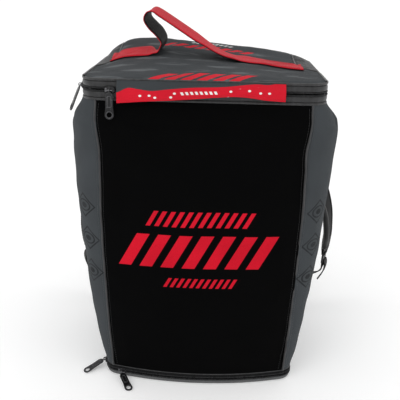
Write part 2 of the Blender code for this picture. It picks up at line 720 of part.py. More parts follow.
def straps():
    yoke_y = outline(YOKE_Z, 5).y
    box("strap_yoke", YOKE_SIZE, (0, yoke_y + YOKE_SIZE[1] / 2 + 0.0010, YOKE_Z), "grey_fabric", 0.0015)
    anchor_y = outline(ANCHOR_Z, 4.3).y + ANCHOR_SIZE[1] / 2 + 0.0014
    for side, sign in (("left", -1), ("right", 1)):
        ribbon(f"shoulder_pad_{side}", pad_route(sign), STRAP_HALF_WIDTH, STRAP_THICKNESS, "strap_padding")
        end, tip, twist = strap_end(sign)
        ladder_lock(f"ladder_lock_{side}", ribbon_frame(end + tip * LOCK_DROP, tip, twist))
        start = end + tip * (LOCK_DROP + 0.0165)
        lower = [
            (start, twist),
            (start + tip * 0.006, twist),
            (start + Vector((sign * -0.014, -0.009, -0.016)), twist * 0.85),
            ((sign * 0.188, 0.1590, 0.0600), twist * 0.3),
            ((sign * 0.152, 0.1420, 0.0560), 0),
            ((sign * 0.134, 0.1364, ANCHOR_Z), 0),
        ]
        ribbon(f"lower_webbing_{side}", lower, WEBBING_HALF_WIDTH, WEBBING, "black_webbing")
        beside = start + Vector((sign * 0.0060, 0, 0))
        tail = [
            (beside, twist),
            (beside + Vector((sign * -0.004, -0.003, -0.015)), twist),
            (beside + Vector((sign * -0.016, -0.008, -0.032)), twist),
        ]
        ribbon(f"webbing_tail_{side}", tail, WEBBING_HALF_WIDTH, WEBBING, "black_webbing")
        anchor_place = (sign * 0.110, anchor_y, ANCHOR_Z)
        box(f"strap_anchor_{side}", ANCHOR_SIZE, anchor_place, "grey_fabric", 0.001)


def main():
    body_panels()
    seam_welts()
    zip_line("rim", RIM_ZIP_Z, TAPE_HEIGHT, "lid", "body")
    zip_line("base", BASE_ZIP_Z, BASE_TAPE_HEIGHT, "body", "tray")
    rim_pipings()
    divider()
    back_pad()
    lid()
    storm_flap()
    handle()
    base()
    zip_sliders()
    straps()


main()
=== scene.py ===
"""Looks of the gear backpack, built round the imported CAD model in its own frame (metres, +Z up, -Y front).

The walls repeat the CAD model's outline and add a soft skin of folds and puckers, so every visible piece
sits in the space of the solid that it replaces.
"""

import functools
import math

import bmesh
import bpy
import numpy as np
from mathutils import Matrix, Vector, noise


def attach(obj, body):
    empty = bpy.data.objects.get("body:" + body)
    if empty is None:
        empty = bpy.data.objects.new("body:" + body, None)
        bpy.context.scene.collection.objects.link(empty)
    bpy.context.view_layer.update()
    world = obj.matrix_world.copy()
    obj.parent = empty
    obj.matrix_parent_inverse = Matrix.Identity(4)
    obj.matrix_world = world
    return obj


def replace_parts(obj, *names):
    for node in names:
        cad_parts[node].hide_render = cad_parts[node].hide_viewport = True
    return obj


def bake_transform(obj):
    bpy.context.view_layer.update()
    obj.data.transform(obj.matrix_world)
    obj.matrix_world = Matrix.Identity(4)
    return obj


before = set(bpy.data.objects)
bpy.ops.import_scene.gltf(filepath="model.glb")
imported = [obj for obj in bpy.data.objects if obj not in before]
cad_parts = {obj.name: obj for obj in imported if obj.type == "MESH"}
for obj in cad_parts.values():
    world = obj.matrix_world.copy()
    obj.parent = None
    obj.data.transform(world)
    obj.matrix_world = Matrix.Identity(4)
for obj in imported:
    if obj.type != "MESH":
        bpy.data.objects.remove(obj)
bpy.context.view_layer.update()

# ---------------------------------------------------------------- dimensions shared with the CAD model
WALL = 0.004
LID_RADIUS = 0.029
RIM_HALF_WIDTH = 0.183
RIM_HALF_DEPTH = 0.140
RIM_ZIP_Z = 0.4930
BASE_HALF_WIDTH = 0.158
BASE_FRONT = 0.150
BASE_BACK = 0.127
BASE_RADIUS = 0.024
BASE_BOW_RADIUS = 0.500
BASE_ZIP_Z = 0.0112
WALL_BOTTOM = 0.0204
WALL_TOP = 0.4747
COIL_GAP = 0.0008
COIL_HEIGHT = 0.0028
COIL_DEPTH = 0.0024
COIL_PITCH = 0.0019
TAPE_END = 0.0121  # from a rim zip's line to the far edge of its tape
BASE_TAPE_END = 0.0064
RIM_PIPING = 0.0145  # from the rim zip's line to the middle of either piping
BASE_PIPING = 0.0078
FRONT_SEAM = 1.12
BACK_SEAM = 3.90
ZIP_END = 2.93
BAND_START = ZIP_END + 0.004  # the rear bands start just past the side sliders' reach
BACK_CURVATURE = 0.30
WELT_RADIUS = 0.0016
HANDLE_Y = 0.012
HANDLE_WIDTH = 0.048
YOKE_Z = 0.450
SIDES = (("left", -1), ("right", 1))  # each side's name and the sign of its X
SECTIONS = [  # height, half width, front, back, corner radius, front curvature and side curvature
    (BASE_ZIP_Z, BASE_HALF_WIDTH, BASE_FRONT, BASE_BACK, BASE_RADIUS, 1 / BASE_BOW_RADIUS, 0.02),
    (WALL_BOTTOM, 0.1592, 0.1505, 0.1275, 0.025, 1.97, 0.03),
    (0.075, 0.169, 0.154, 0.131, 0.032, 1.70, 0.30),
    (0.160, 0.185, 0.157, 0.136, 0.047, 1.40, 0.70),
    (0.300, 0.201, 0.157, 0.140, 0.060, 1.05, 0.90),
    (0.400, 0.207, 0.154, 0.142, 0.066, 0.70, 0.80),
    (0.447, 0.2035, 0.149, 0.142, 0.052, 0.40, 0.50),
    (WALL_TOP, 0.1860, 0.1405, 0.1400, 0.031, 0.05, 0.05),
    (RIM_ZIP_Z, RIM_HALF_WIDTH, RIM_HALF_DEPTH, RIM_HALF_DEPTH, LID_RADIUS, 0.02, 0.02),
]

# Linear colours.
BLACK = (0.0012, 0.0012, 0.0013)
GREY = (0.050, 0.056, 0.061)
PALE_GREY = (0.094, 0.102, 0.107)
RED = (0.62, 0.0085, 0.024)
WHITE = (0.82, 0.82, 0.80)
SATIN = (0.022, 0.022, 0.023)


# ---------------------------------------------------------------- small helpers
def smooth(value, low, high):
    """0 below low, 1 above high and a smooth step between."""
    t = np.clip((value - low) / (high - low), 0, 1)
    return t * t * (3 - 2 * t)


def ripple(point, scale, seed=0.0):
    """Smooth noise from -1 to 1 at a point, with features about 1 / scale across."""
    return noise.noise(Vector(point) * scale + Vector((seed, 1.7 * seed, 2.3 * seed)))


def cubic(t, start, start_slope, end, end_slope):
    """The cubic from start to end with these slopes, at t from 0 to 1."""
    return ((2 * t**3 - 3 * t**2 + 1) * start + (t**3 - 2 * t**2 + t) * start_slope
            + (3 * t**2 - 2 * t**3) * end + (t**3 - t**2) * end_slope)


def hermite(marks, values, x):
    """A smooth curve through values at marks."""
    marks = list(marks)
    i = int(np.clip(np.searchsorted(marks, x) - 1, 0, len(marks) - 2))
    low, high = max(i - 1, 0), min(i + 2, len(marks) - 1)
    span = marks[i + 1] - marks[i]
    t = min(max((x - marks[i]) / span, 0.0), 1.0)
    slope_a = (values[i + 1] - values[low]) / (marks[i + 1] - marks[low]) * span
    slope_b = (values[high] - values[i]) / (marks[high] - marks[i]) * span
    return cubic(t, values[i], slope_a, values[i + 1], slope_b)


def catmull(points, steps):
    """Smooth points through a path."""
    path = [Vector(p) for p in points]
    path = [2 * path[0] - path[1], *path, 2 * path[-1] - path[-2]]
    made = []
    for a, b, c, d in zip(path, path[1:], path[2:], path[3:]):
        for i in range(steps):
            t = i / steps
            made.append(0.5 * (2 * b + (c - a) * t + (2 * a - 5 * b + 4 * c - d) * t**2
                               + (3 * b - a - 3 * c + d) * t**3))
    return made + [path[-2]]


def link(name, mesh, *materials):
    obj = bpy.data.objects.new(name, mesh)
    for material in materials:
        mesh.materials.append(material)
    bpy.context.scene.collection.objects.link(obj)
    return obj


def grid(name, points, *materials, closed=False, joined=False, uv=None, outward=None, marks=None):
    """A smooth sheet through rows of points. closed joins each row's ends, joined the last row to the first.
    Its UV map is in metres along the cloth. marks are values for each point, for its material."""
    points = np.asarray(points, float)
    if joined:
        points = np.concatenate([points, points[:1]])
    rows, columns = points.shape[:2]
    wrapped = np.concatenate([points, points[:, :1]], axis=1) if closed else points
    if uv is None:
        u = np.zeros(wrapped.shape[:2])
        u[:, 1:] = np.cumsum(np.linalg.norm(np.diff(wrapped, axis=1), axis=2), axis=1)
        u -= u[:, u.shape[1] // 2][:, None]
        v = np.zeros(wrapped.shape[:2])
        v[1:] = np.cumsum(np.linalg.norm(np.diff(wrapped, axis=0), axis=2), axis=0)
        uv = np.stack([u, v], axis=-1)
    index = np.arange(rows * columns).reshape(rows, columns)
    after = np.concatenate([index[:, 1:], index[:, :1]], axis=1) if closed else index[:, 1:]
    index = index if closed else index[:, :-1]
    faces = np.stack([index[:-1], after[:-1], after[1:], index[1:]], axis=-1).reshape(-1, 4)
    corners = np.stack([uv[:-1, :-1], uv[:-1, 1:], uv[1:, 1:], uv[1:, :-1]], axis=2).reshape(-1, 4, 2)
    if outward is not None:
        flat = points.reshape(-1, 3)
        a, b, c = flat[faces[:, 0]], flat[faces[:, 1]], flat[faces[:, 3]]
        direction = outward(flat[faces].mean(axis=1)) if callable(outward) else np.array(outward, float)
        if (np.cross(b - a, c - a) * direction).sum() < 0:
            faces, corners = faces[:, ::-1], corners[:, ::-1]
    mesh = bpy.data.meshes.new(name)
    mesh.from_pydata(points.reshape(-1, 3).tolist(), [], faces.tolist())
    layer = mesh.uv_layers.new(name="cloth")
    layer.data.foreach_set("uv", corners.astype(np.float32).ravel())
    for key, values in (marks or {}).items():
        attribute = mesh.attributes.new(key, "FLOAT", "POINT")
        values = np.asarray(values, np.float32)
        if joined:
            values = np.concatenate([values, values[:1]])
        attribute.data.foreach_set("value", values.ravel())
    if joined:
        weld(mesh)
    mesh.shade_smooth()
    return link(name, mesh, *materials)


def weld(mesh):
    """Merges the points that coincide."""
    work = bmesh.new()
    work.from_mesh(mesh)
    bmesh.ops.remove_doubles(work, verts=work.verts, dist=1e-6)
    work.to_mesh(mesh)
    work.free()


def face_outward(mesh, close_ends=False):
    """Turns the faces of a closed form outward, after closing its open ends if asked."""
    work = bmesh.new()
    work.from_mesh(mesh)
    if close_ends:
        bmesh.ops.holes_fill(work, edges=[e for e in work.edges if e.is_boundary], sides=0)
    bmesh.ops.recalc_face_normals(work, faces=work.faces)
    work.to_mesh(mesh)
    work.free()


def away_from_axis(points):
    """The outward direction of a sheet that goes round the bag."""
    return points * np.array([1.0, 1.0, 0.0])


def thicken(obj, thickness, offset=-1.0, lining=0):
    modifier = obj.modifiers.new("thickness", "SOLIDIFY")
    modifier.thickness = thickness
    modifier.offset = offset
    modifier.use_quality_normals = True
    modifier.material_offset = lining
    return obj


def apply_all(obj):
    """Turns the object's modifiers into its mesh."""
    graph = bpy.context.evaluated_depsgraph_get()
    mesh = bpy.data.meshes.new_from_object(obj.evaluated_get(graph), depsgraph=graph)
    obj.modifiers.clear()
    obj.data = mesh
    return obj


def join(name, objects):
    with bpy.context.temp_override(active_object=objects[0], selected_editable_objects=objects):
        bpy.ops.object.join()
    objects[0].name = name
    return objects[0]


def tube(name, path, radius, material, sides=10, closed=False, up=(0, 0, 1)):
    """A round cord along a path. up is a direction that the path never follows."""
    path = np.asarray(path, float)
    ahead = np.roll(path, -1, axis=0) if closed else np.concatenate([path[1:], path[-1:]])
    behind = np.roll(path, 1, axis=0) if closed else np.concatenate([path[:1], path[:-1]])
    along = ahead - behind
    along /= np.linalg.norm(along, axis=1)[:, None]
    side = np.cross(along, np.array(up, float))
    side /= np.linalg.norm(side, axis=1)[:, None]
    rise = np.cross(side, along)
    turns = np.linspace(0, 2 * math.pi, sides, endpoint=False)
    ring = side[:, None] * np.cos(turns)[None, :, None] + rise[:, None] * np.sin(turns)[None, :, None]
    obj = grid(name, path[:, None] + ring * radius, material, closed=True, joined=closed)
    face_outward(obj.data, close_ends=not closed)
    obj.data.shade_smooth()
    return obj


def beads(name, places, shape, material):
    """One mesh of many small pieces: shape is (points, faces), and places are their 4x4 matrices."""
    shape_points, shape_faces = np.asarray(shape[0], float), np.asarray(shape[1])
    matrices = np.asarray([np.array(m) for m in places], float)
    points = np.einsum("nij,kj->nki", matrices[:, :3, :3], shape_points) + matrices[:, None, :3, 3]
    faces = shape_faces[None] + (np.arange(len(places)) * len(shape_points))[:, None, None]
    mesh = bpy.data.meshes.new(name)
    mesh.from_pydata(points.reshape(-1, 3).tolist(), [], faces.reshape(-1, shape_faces.shape[1]).tolist())
    mesh.uv_layers.new(name="cloth")
    mesh.shade_smooth()
    return link(name, mesh, material)


def capsule(length, half_width, half_height, sides=6, rings=4):
    """A rounded lozenge along X, as points and quads."""
    points = []
    for i in range(rings):
        turn = math.pi * (i + 0.5) / rings
        for k in range(sides):
            a = 2 * math.pi * k / sides
            points.append((-math.cos(turn) * length / 2, math.cos(a) * half_width * math.sin(turn) ** 0.6,
                           math.sin(a) * half_height * math.sin(turn) ** 0.6))
    faces = []
    for first in range(0, (rings - 1) * sides, sides):
        for k in range(sides):
            after = (k + 1) % sides
            faces.append((first + k, first + after, first + sides + after, first + sides + k))
    last = (rings - 1) * sides
    for start, order in ((0, -1), (last, 1)):
        ring = list(range(start, start + sides))[::order]
        faces += [(ring[0], *ring[i:i + 3]) for i in range(1, sides - 2, 2)]
    return points, faces


def frame_at(point, along, normal):
    """A matrix with local X along, local Z out of the surface."""
    along = Vector(along).normalized()
    out = Vector(normal).normalized()
    side = out.cross(along).normalized()
    out = along.cross(side)
    rotation = Matrix((along, side, out)).transposed().to_4x4()
    return Matrix.Translation(point) @ rotation


def stitches(name, path, normals, material, pitch=0.0034, length=0.0027, radius=0.00035):
    """A row of thread stitches that lies on a surface."""
    path = [Vector(p) for p in path]
    normals = [Vector(n) for n in normals]
    places, carried = [], pitch / 2
    for a, b, na, nb in zip(path, path[1:], normals, normals[1:]):
        run = (b - a).length
        while carried < run:
            t = carried / run
            normal = na.lerp(nb, t).normalized()
            places.append(frame_at(a.lerp(b, t) + normal * radius * 0.5, b - a, normal))
            carried += pitch
        carried -= run
    return beads(name, places, capsule(length, radius, radius, 6, 4), material)


# ---------------------------------------------------------------- materials
class Shader:
    """Builds one procedural material. Sockets come and go as Blender node sockets or plain numbers."""

    def __init__(self, name, roughness, metallic=0.0, sheen=0.0, coat=0.0, specular=0.25):
        self.material = bpy.data.materials.new(name)
        self.material.use_nodes = True
        self.tree = self.material.node_tree
        self.surface = self.tree.nodes["Principled BSDF"]
        self.surface.inputs["Roughness"].default_value = roughness
        self.surface.inputs["Metallic"].default_value = metallic
        self.surface.inputs["Sheen Weight"].default_value = sheen
        self.surface.inputs["Sheen Roughness"].default_value = 0.5
        self.surface.inputs["Coat Weight"].default_value = coat
        self.surface.inputs["Specular IOR Level"].default_value = specular
        self.bump = None

    def node(self, kind, **settings):
        made = self.tree.nodes.new(kind)
        for key, value in settings.items():
            setattr(made, key, value)
        return made

    def put(self, socket, value):
        if isinstance(value, bpy.types.NodeSocket):
            self.tree.links.new(value, socket)
        elif isinstance(value, tuple) and len(value) == 3 and socket.type == "RGBA":
            socket.default_value = (*value, 1.0)
        else:
            socket.default_value = value

    def math(self, operation, *values):
        made = self.node("ShaderNodeMath", operation=operation)
        for socket, value in zip(made.inputs, values):
            self.put(socket, value)
        return made.outputs[0]

    def mix(self, factor, a, b):
        made = self.node("ShaderNodeMix", data_type="RGBA")
        self.put(made.inputs[0], factor)
        self.put(made.inputs[6], a)
        self.put(made.inputs[7], b)
        return made.outputs[2]

    def cloth(self):
        """The cloth's own coordinates in metres."""
        parts = self.node("ShaderNodeSeparateXYZ")
        self.put(parts.inputs[0], self.node("ShaderNodeUVMap", uv_map="cloth").outputs[0])
        return parts.outputs[0], parts.outputs[1]

    def place(self):
        """The place on the object in metres."""
        return self.node("ShaderNodeTexCoord").outputs["Object"]

    def mark(self, name):
        return self.node("ShaderNodeAttribute", attribute_name=name).outputs["Fac"]

    def noise(self, scale, detail=2.0, vector=None, stretch=None):
        made = self.node("ShaderNodeTexNoise")
        made.inputs["Scale"].default_value = scale
        made.inputs["Detail"].default_value = detail
        vector = vector or self.place()
        if stretch:
            mapping = self.node("ShaderNodeMapping")
            mapping.inputs["Scale"].default_value = stretch
            self.put(mapping.inputs[0], vector)
            vector = mapping.outputs[0]
        self.put(made.inputs["Vector"], vector)
        return made.outputs["Fac"]

    def ramp(self, value, low, high, to_low=0.0, to_high=1.0):
        made = self.node("ShaderNodeMapRange", interpolation_type="SMOOTHSTEP")
        for socket, number in zip(made.inputs, (value, low, high, to_low, to_high)):
            self.put(socket, number)
        return made.outputs[0]

    def wave(self, value, pitch):
        return self.math("SINE", self.math("MULTIPLY", value, 2 * math.pi / pitch))

    def weave(self, u, v, pitch):
        """Height of a plain weave with this thread spacing, from 0 to 1."""
        across, along = self.wave(u, 2 * pitch), self.wave(v, 2 * pitch)
        over = self.math("GREATER_THAN", self.math("MULTIPLY", across, along), 0.0)
        across, along = self.math("ABSOLUTE", across), self.math("ABSOLUTE", along)
        warp = self.math("MULTIPLY", across, self.math("POWER", along, 0.35))
        weft = self.math("MULTIPLY", along, self.math("POWER", across, 0.35))
        return self.math("ADD", self.math("MULTIPLY", over, warp),
                         self.math("MULTIPLY", self.math("SUBTRACT", 1.0, over), weft))

    def between(self, value, low, high, soft=0.0004):
        return self.math("MULTIPLY", self.ramp(value, low - soft, low + soft),
                         self.ramp(value, high - soft, high + soft, 1.0, 0.0))

    def bars(self, u, v, u_range, v_range, count, share, slant):
        """A row of this many slanted bars, 1 inside them. Share is a bar's share of its pitch."""
        length = u_range[1] - u_range[0]
        middle = (v_range[0] + v_range[1]) / 2
        lean = self.math("MULTIPLY", self.math("SUBTRACT", v, middle), slant)
        run = self.math("SUBTRACT", self.math("SUBTRACT", u, lean), u_range[0])
        phase = self.math("FRACT", self.math("DIVIDE", run, length / count))
        bar = self.between(phase, 0.03, 0.03 + share, 0.0004 * count / length)
        return self.math("MULTIPLY", bar, self.math("MULTIPLY", self.between(run, 0.0, length),
                                                    self.between(v, *v_range)))

    def raise_by(self, height, distance, strength=1.0):
        made = self.node("ShaderNodeBump")
        made.inputs["Distance"].default_value = distance
        made.inputs["Strength"].default_value = strength
        self.put(made.inputs["Height"], height)
        if self.bump:
            self.put(made.inputs["Normal"], self.bump)
        self.bump = made.outputs[0]
        self.put(self.surface.inputs["Normal"], self.bump)

    def paint(self, colour):
        self.put(self.surface.inputs["Base Color"], colour)

    def paint_shaded(self, colour, share):
        """Paints with a colour times a share that varies over the surface."""
        tone = self.node("ShaderNodeVectorMath", operation="SCALE")
        self.put(tone.inputs[0], colour)
        self.put(tone.inputs["Scale"], share)
        self.paint(tone.outputs[0])

    def gloss(self, roughness):
        self.put(self.surface.inputs["Roughness"], roughness)


def darker(colour, factor):
    """The colour times a factor."""
    return tuple(c * factor for c in colour)


def finish_cloth(shader, colour, height, depth=0.00035, variation=0.10, wear=0.0):
    """Shades a cloth by its weave: threads light and gaps dark, which is painted shade in the gaps between
    threads; broad fading, and rubbed edges.
    """
    shader.raise_by(height, depth, 0.6)
    broad = shader.ramp(shader.noise(14.0, 4.0), 0.3, 0.7, 1 - variation, 1 + variation * 0.6)
    # Painted shade: the colour is darker where the weave is low, as if the gaps between threads were
    # shadowed.
    thread = shader.ramp(height, 0.0, 0.8, 0.78, 1.06)
    tone = shader.node("ShaderNodeVectorMath", operation="SCALE")
    shader.put(tone.inputs[0], colour)
    shader.put(tone.inputs["Scale"], shader.math("MULTIPLY", broad, thread))
    final = tone.outputs[0]
    if wear:
        rubbed = shader.math("MULTIPLY", shader.ramp(shader.mark("edge"), 0.0, 0.006, 1.0, 0.0),
                             shader.ramp(shader.noise(60.0, 3.0), 0.42, 0.62))
        final = shader.mix(shader.math("MULTIPLY", rubbed, wear), final, PALE_GREY)
    shader.paint(final)


def colour_socket(shader, colour):
    """A plain colour as a socket that a vector node can read."""
    made = shader.node("ShaderNodeCombineXYZ")
    for socket, value in zip(made.inputs, colour):
        socket.default_value = value
    return made.outputs[0]


def woven(name, colour, pitch, roughness=0.82, wear=0.0, depth=0.00035):
    """Plain woven cloth of one colour."""
    shader = Shader(name, roughness, sheen=0.02, specular=0.15)
    u, v = shader.cloth()
    height = shader.weave(u, v, pitch)
    finish_cloth(shader, colour_socket(shader, colour), height, depth, wear=wear)
    shader.gloss(shader.ramp(shader.noise(35.0, 3.0), 0.3, 0.7, roughness - 0.06, roughness + 0.06))
    return shader.material


def front_fabric():
    """Black fabric with three printed rows of slanted red bars."""
    shader = Shader("front_fabric", 0.86, specular=0.04)
    u, v = shader.cloth()
    height = shader.weave(u, v, 0.0009)
    big = shader.bars(u, v, (-0.116, 0.120), (0.217, 0.272), 7, 0.60, 0.55)
    small = shader.bars(u, v, (-0.080, 0.084), (0.286, 0.311), 12, 0.52, 0.55)
    low = shader.bars(u, v, (-0.054, 0.060), (0.183, 0.199), 11, 0.52, 0.55)
    ink = shader.math("MAXIMUM", big, shader.math("MAXIMUM", small, low))
    # Painted shade: the ink is dimmed where the weave is low, in the gaps between threads.
    ink = shader.math("MULTIPLY", ink, shader.ramp(height, 0.0, 0.3, 0.86, 1.0))
    finish_cloth(shader, shader.mix(ink, BLACK, RED), height, 0.0003, 0.10)
    shader.gloss(shader.math("SUBTRACT", 0.86, shader.math("MULTIPLY", ink, 0.22)))
    return shader.material


def side_fabric():
    """Grey fabric with faint printed rows of lens and diamond outlines."""
    shader = Shader("side_fabric", 0.82, sheen=0.02, specular=0.12)
    u, v = shader.cloth()
    height = shader.weave(u, v, 0.0009)
    cell, cell_width = 0.056, 0.052
    row = shader.math("SUBTRACT", shader.math("FRACT", shader.math("DIVIDE", v, cell)), 0.5)
    row = shader.math("ABSOLUTE", shader.math("MULTIPLY", row, cell))
    column = shader.math("ADD", shader.math("DIVIDE", u, cell_width), 10.0)
    across = shader.math("SUBTRACT", shader.math("FRACT", column), 0.5)
    across = shader.math("ABSOLUTE", shader.math("MULTIPLY", across, cell_width))
    diamond = shader.math("ADD", across, shader.math("MULTIPLY", row, 1.2))
    lens = shader.math("SQRT", shader.math("ADD", shader.math("MULTIPLY", across, across),
                                           shader.math("MULTIPLY", row, shader.math("MULTIPLY", row, 2.2))))
    lines = shader.math("MAXIMUM", shader.between(diamond, 0.0212, 0.0246),
                        shader.math("MAXIMUM", shader.between(lens, 0.0118, 0.0148),
                                    shader.between(lens, -1.0, 0.0066)))
    area = shader.math("MULTIPLY", shader.between(v, 3 * cell, 6 * cell, 0.001),
                       shader.between(u, -3 * cell_width, cell_width, 0.001))
    print_mask = shader.math("MULTIPLY", shader.math("MULTIPLY", lines, area),
                             shader.ramp(shader.noise(70.0, 2.0), 0.35, 0.6, 0.70, 0.95))
    finish_cloth(shader, shader.mix(print_mask, GREY, darker(GREY, 0.28)), height, 0.00035, 0.09, wear=0.35)
    return shader.material


def lid_fabric():
    """Grey fabric with faint smudged ovals and dashes; the steep flanks are dark satin."""
    shader = Shader("lid_fabric", 0.80, sheen=0.02, specular=0.15)
    u, v = shader.cloth()
    height = shader.weave(u, v, 0.0009)
    row_height, cell = 0.040, 0.082
    row = shader.math("DIVIDE", v, row_height)
    shift = shader.math("MULTIPLY", shader.math("FLOOR", row), 0.43)
    column = shader.math("ADD", shader.math("DIVIDE", u, cell), shift)
    x = shader.math("SUBTRACT", shader.math("FRACT", column), 0.5)
    y = shader.math("SUBTRACT", shader.math("FRACT", row), 0.5)
    oval = shader.math("ADD", shader.math("MULTIPLY", shader.math("MULTIPLY", x, x), 6.5),
                       shader.math("MULTIPLY", shader.math("MULTIPLY", y, y), 22.0))
    oval = shader.math("ADD", oval, shader.ramp(v, 0.092, 0.104))
    streak = shader.math("MULTIPLY", shader.ramp(oval, 0.40, 1.0, 1.0, 0.0),
                         shader.ramp(shader.noise(46.0, 3.0, stretch=(0.45, 1.6, 1.0)), 0.38, 0.56))
    # The lid's grey is the side grey darkened, a painted shade that offsets the stronger light on the lid's
    # top.
    colour = shader.mix(streak, darker(GREY, 0.82), (0.104, 0.112, 0.118))
    front_row = shader.bars(u, v, (-0.070, 0.073), (-0.1390, -0.1130), 6, 0.66, 1.1)
    back_row = shader.bars(u, v, (-0.072, 0.080), (0.0540, 0.0700), 8, 0.60, 1.1)
    colour = shader.mix(shader.math("MAXIMUM", front_row, back_row), colour, RED)
    white_row = shader.bars(u, v, (-0.026, 0.046), (0.0790, 0.0860), 9, 0.55, 0.9)
    colour = shader.mix(shader.math("MULTIPLY", white_row, 0.8), colour, WHITE)
    flank = shader.ramp(shader.mark("flank"), -0.0006, 0.0006)
    colour = shader.mix(flank, colour, darker(SATIN, 0.9))
    finish_cloth(shader, colour, height, 0.00035, 0.08)
    shader.gloss(shader.math("SUBTRACT", 0.80, shader.math("MULTIPLY", flank, 0.36)))
    return shader.material


def flap_fabric():
    """Grey cloth above a wavy seam and red below, with printed white dots and dashes."""
    shader = Shader("flap_fabric", 0.72, specular=0.12)
    u, v = shader.cloth()
    height = shader.weave(u, v, 0.0008)
    dots = shader.node("ShaderNodeTexVoronoi", voronoi_dimensions="2D", feature="F1")
    dots.inputs["Scale"].default_value = 1.0
    dots.inputs["Randomness"].default_value = 0.85
    spot_place = shader.node("ShaderNodeCombineXYZ")
    shader.put(spot_place.inputs[0], shader.math("DIVIDE", u, 0.0145))
    shader.put(spot_place.inputs[1], shader.math("DIVIDE", v, 0.0105))
    shader.put(dots.inputs["Vector"], spot_place.outputs[0])
    spot = shader.ramp(dots.outputs["Distance"], 0.13, 0.17, 1.0, 0.0)
    left = shader.between(u, -0.104, -0.040)
    right = shader.between(u, 0.030, 0.100)
    spot = shader.math("MULTIPLY", spot, shader.math("MAXIMUM", left, right))
    band = shader.between(shader.mark("red"), 0.0042, 0.0165)
    spot = shader.math("MULTIPLY", spot, band)
    dash = shader.bars(u, shader.mark("red"), (-0.034, 0.022), (0.0056, 0.0100), 8, 0.55, 0.5)
    ink = shader.math("MAXIMUM", spot, dash)
    red = shader.mix(ink, RED, WHITE)
    # The flap's grey is the side grey darkened, a painted shade that offsets the light on the flatter flap.
    colour = shader.mix(shader.ramp(shader.mark("red"), -0.0002, 0.0002), darker(GREY, 0.85), red)
    finish_cloth(shader, colour, height, 0.0003, 0.07)
    return shader.material


def satin(name, colour, roughness=0.36):
    """Folded bias binding: smooth, with fine ribs and creases across it, and painted shade in the crease
    hollows and painted highlight on their crests.
    """
    shader = Shader(name, roughness, sheen=0.15)
    _, v = shader.cloth()
    ribs = shader.ramp(shader.wave(v, 0.0011), -1.0, 1.0)
    creases = shader.noise(1.0, 3.0, vector=shader.place(), stretch=(170.0, 170.0, 35.0))
    shader.raise_by(ribs, 0.00012, 0.5)
    shader.raise_by(creases, 0.0008, 0.5)
    # Painted shade and highlight: the colour darkens in the crease hollows and lightens on their crests.
    share = shader.ramp(creases, 0.3, 0.7, 0.65, 1.35)
    shader.paint_shaded(colour_socket(shader, colour), share)
    shader.gloss(shader.ramp(shader.noise(90.0, 2.0), 0.3, 0.7, roughness - 0.05, roughness + 0.10))
    return shader.material


def webbing_fabric(name, colour, under=None):
    """Heavy webbing: ribs along it, and a chevron twill. The underside may have its own colour."""
    shader = Shader(name, 0.62, sheen=0.02, specular=0.15)
    u, v = shader.cloth()
    ribs = shader.math("ABSOLUTE", shader.wave(v, 0.0034))
    lean = shader.math("ADD", u, shader.math("MULTIPLY", shader.math("PINGPONG", v, 0.0017), 1.0))
    twill = shader.math("ABSOLUTE", shader.wave(lean, 0.0030))
    height = shader.math("ADD", shader.math("MULTIPLY", ribs, 0.6), shader.math("MULTIPLY", twill, 0.4))
    base = colour_socket(shader, colour)
    if under:
        base = shader.mix(shader.ramp(shader.mark("under"), 0.4, 0.6), colour, under)
    finish_cloth(shader, base, height, 0.0004, 0.07)
    return shader.material


def mesh_fabric(name, colour):
    """Spacer mesh of a padded strap: a honeycomb of small holes, darkened inside as painted shade."""
    shader = Shader(name, 0.88, sheen=0.03, specular=0.15)
    holes = shader.node("ShaderNodeTexVoronoi", feature="F1")
    holes.inputs["Scale"].default_value = 420.0
    holes.inputs["Randomness"].default_value = 0.12
    shader.put(holes.inputs["Vector"], shader.place())
    wall = shader.ramp(holes.outputs["Distance"], 0.18, 0.46)
    shader.raise_by(wall, 0.0006, 0.7)
    broad = shader.ramp(shader.noise(25.0, 3.0), 0.3, 0.7, 0.8, 1.15)
    # Painted shade: the holes are darker than the mesh walls between them, as if shadowed inside.
    share = shader.math("MULTIPLY", broad, shader.ramp(wall, 0.0, 1.0, 0.35, 1.1))
    shader.paint_shaded(colour_socket(shader, colour), share)
    return shader.material


def moulded(name, colour, roughness, grain=900.0, depth=0.00006):
    """Moulded plastic with a fine grain and a few rubbed places."""
    shader = Shader(name, roughness)
    shader.raise_by(shader.noise(grain, 3.0), depth, 0.6)
    share = shader.ramp(shader.noise(60.0, 4.0), 0.35, 0.7, 0.8, 1.35)
    shader.paint_shaded(colour_socket(shader, colour), share)
    shader.gloss(shader.ramp(shader.noise(130.0, 3.0), 0.3, 0.7, roughness - 0.07, roughness + 0.09))
    return shader.material


def enamelled_metal(name):
    """Black enamel on cast metal, rubbed to grey in patches, most of all on the edges."""
    shader = Shader(name, 0.34, metallic=0.75, coat=0.25)
    worn = shader.ramp(shader.noise(320.0, 4.0), 0.55, 0.72)
    edges = shader.node("ShaderNodeNewGeometry").outputs["Pointiness"]
    worn = shader.math("MAXIMUM", shader.math("MULTIPLY", worn, 0.35),
                       shader.ramp(edges, 0.52, 0.60, 0.0, 0.8))
    shader.paint(shader.mix(worn, (0.016, 0.016, 0.017), (0.19, 0.19, 0.20)))
    shader.gloss(shader.ramp(worn, 0.0, 1.0, 0.38, 0.24))
    shader.raise_by(shader.noise(700.0, 2.0), 0.00005, 0.4)
    return shader.material


def plain_thread(name, colour):
    """Twisted sewing thread."""
    shader = Shader(name, 0.6, sheen=0.2)
    twist = shader.ramp(shader.wave(shader.noise(500.0, 1.0), 0.25), -1.0, 1.0)
    shader.paint(shader.mix(twist, darker(colour, 0.7), colour))
    return shader.material


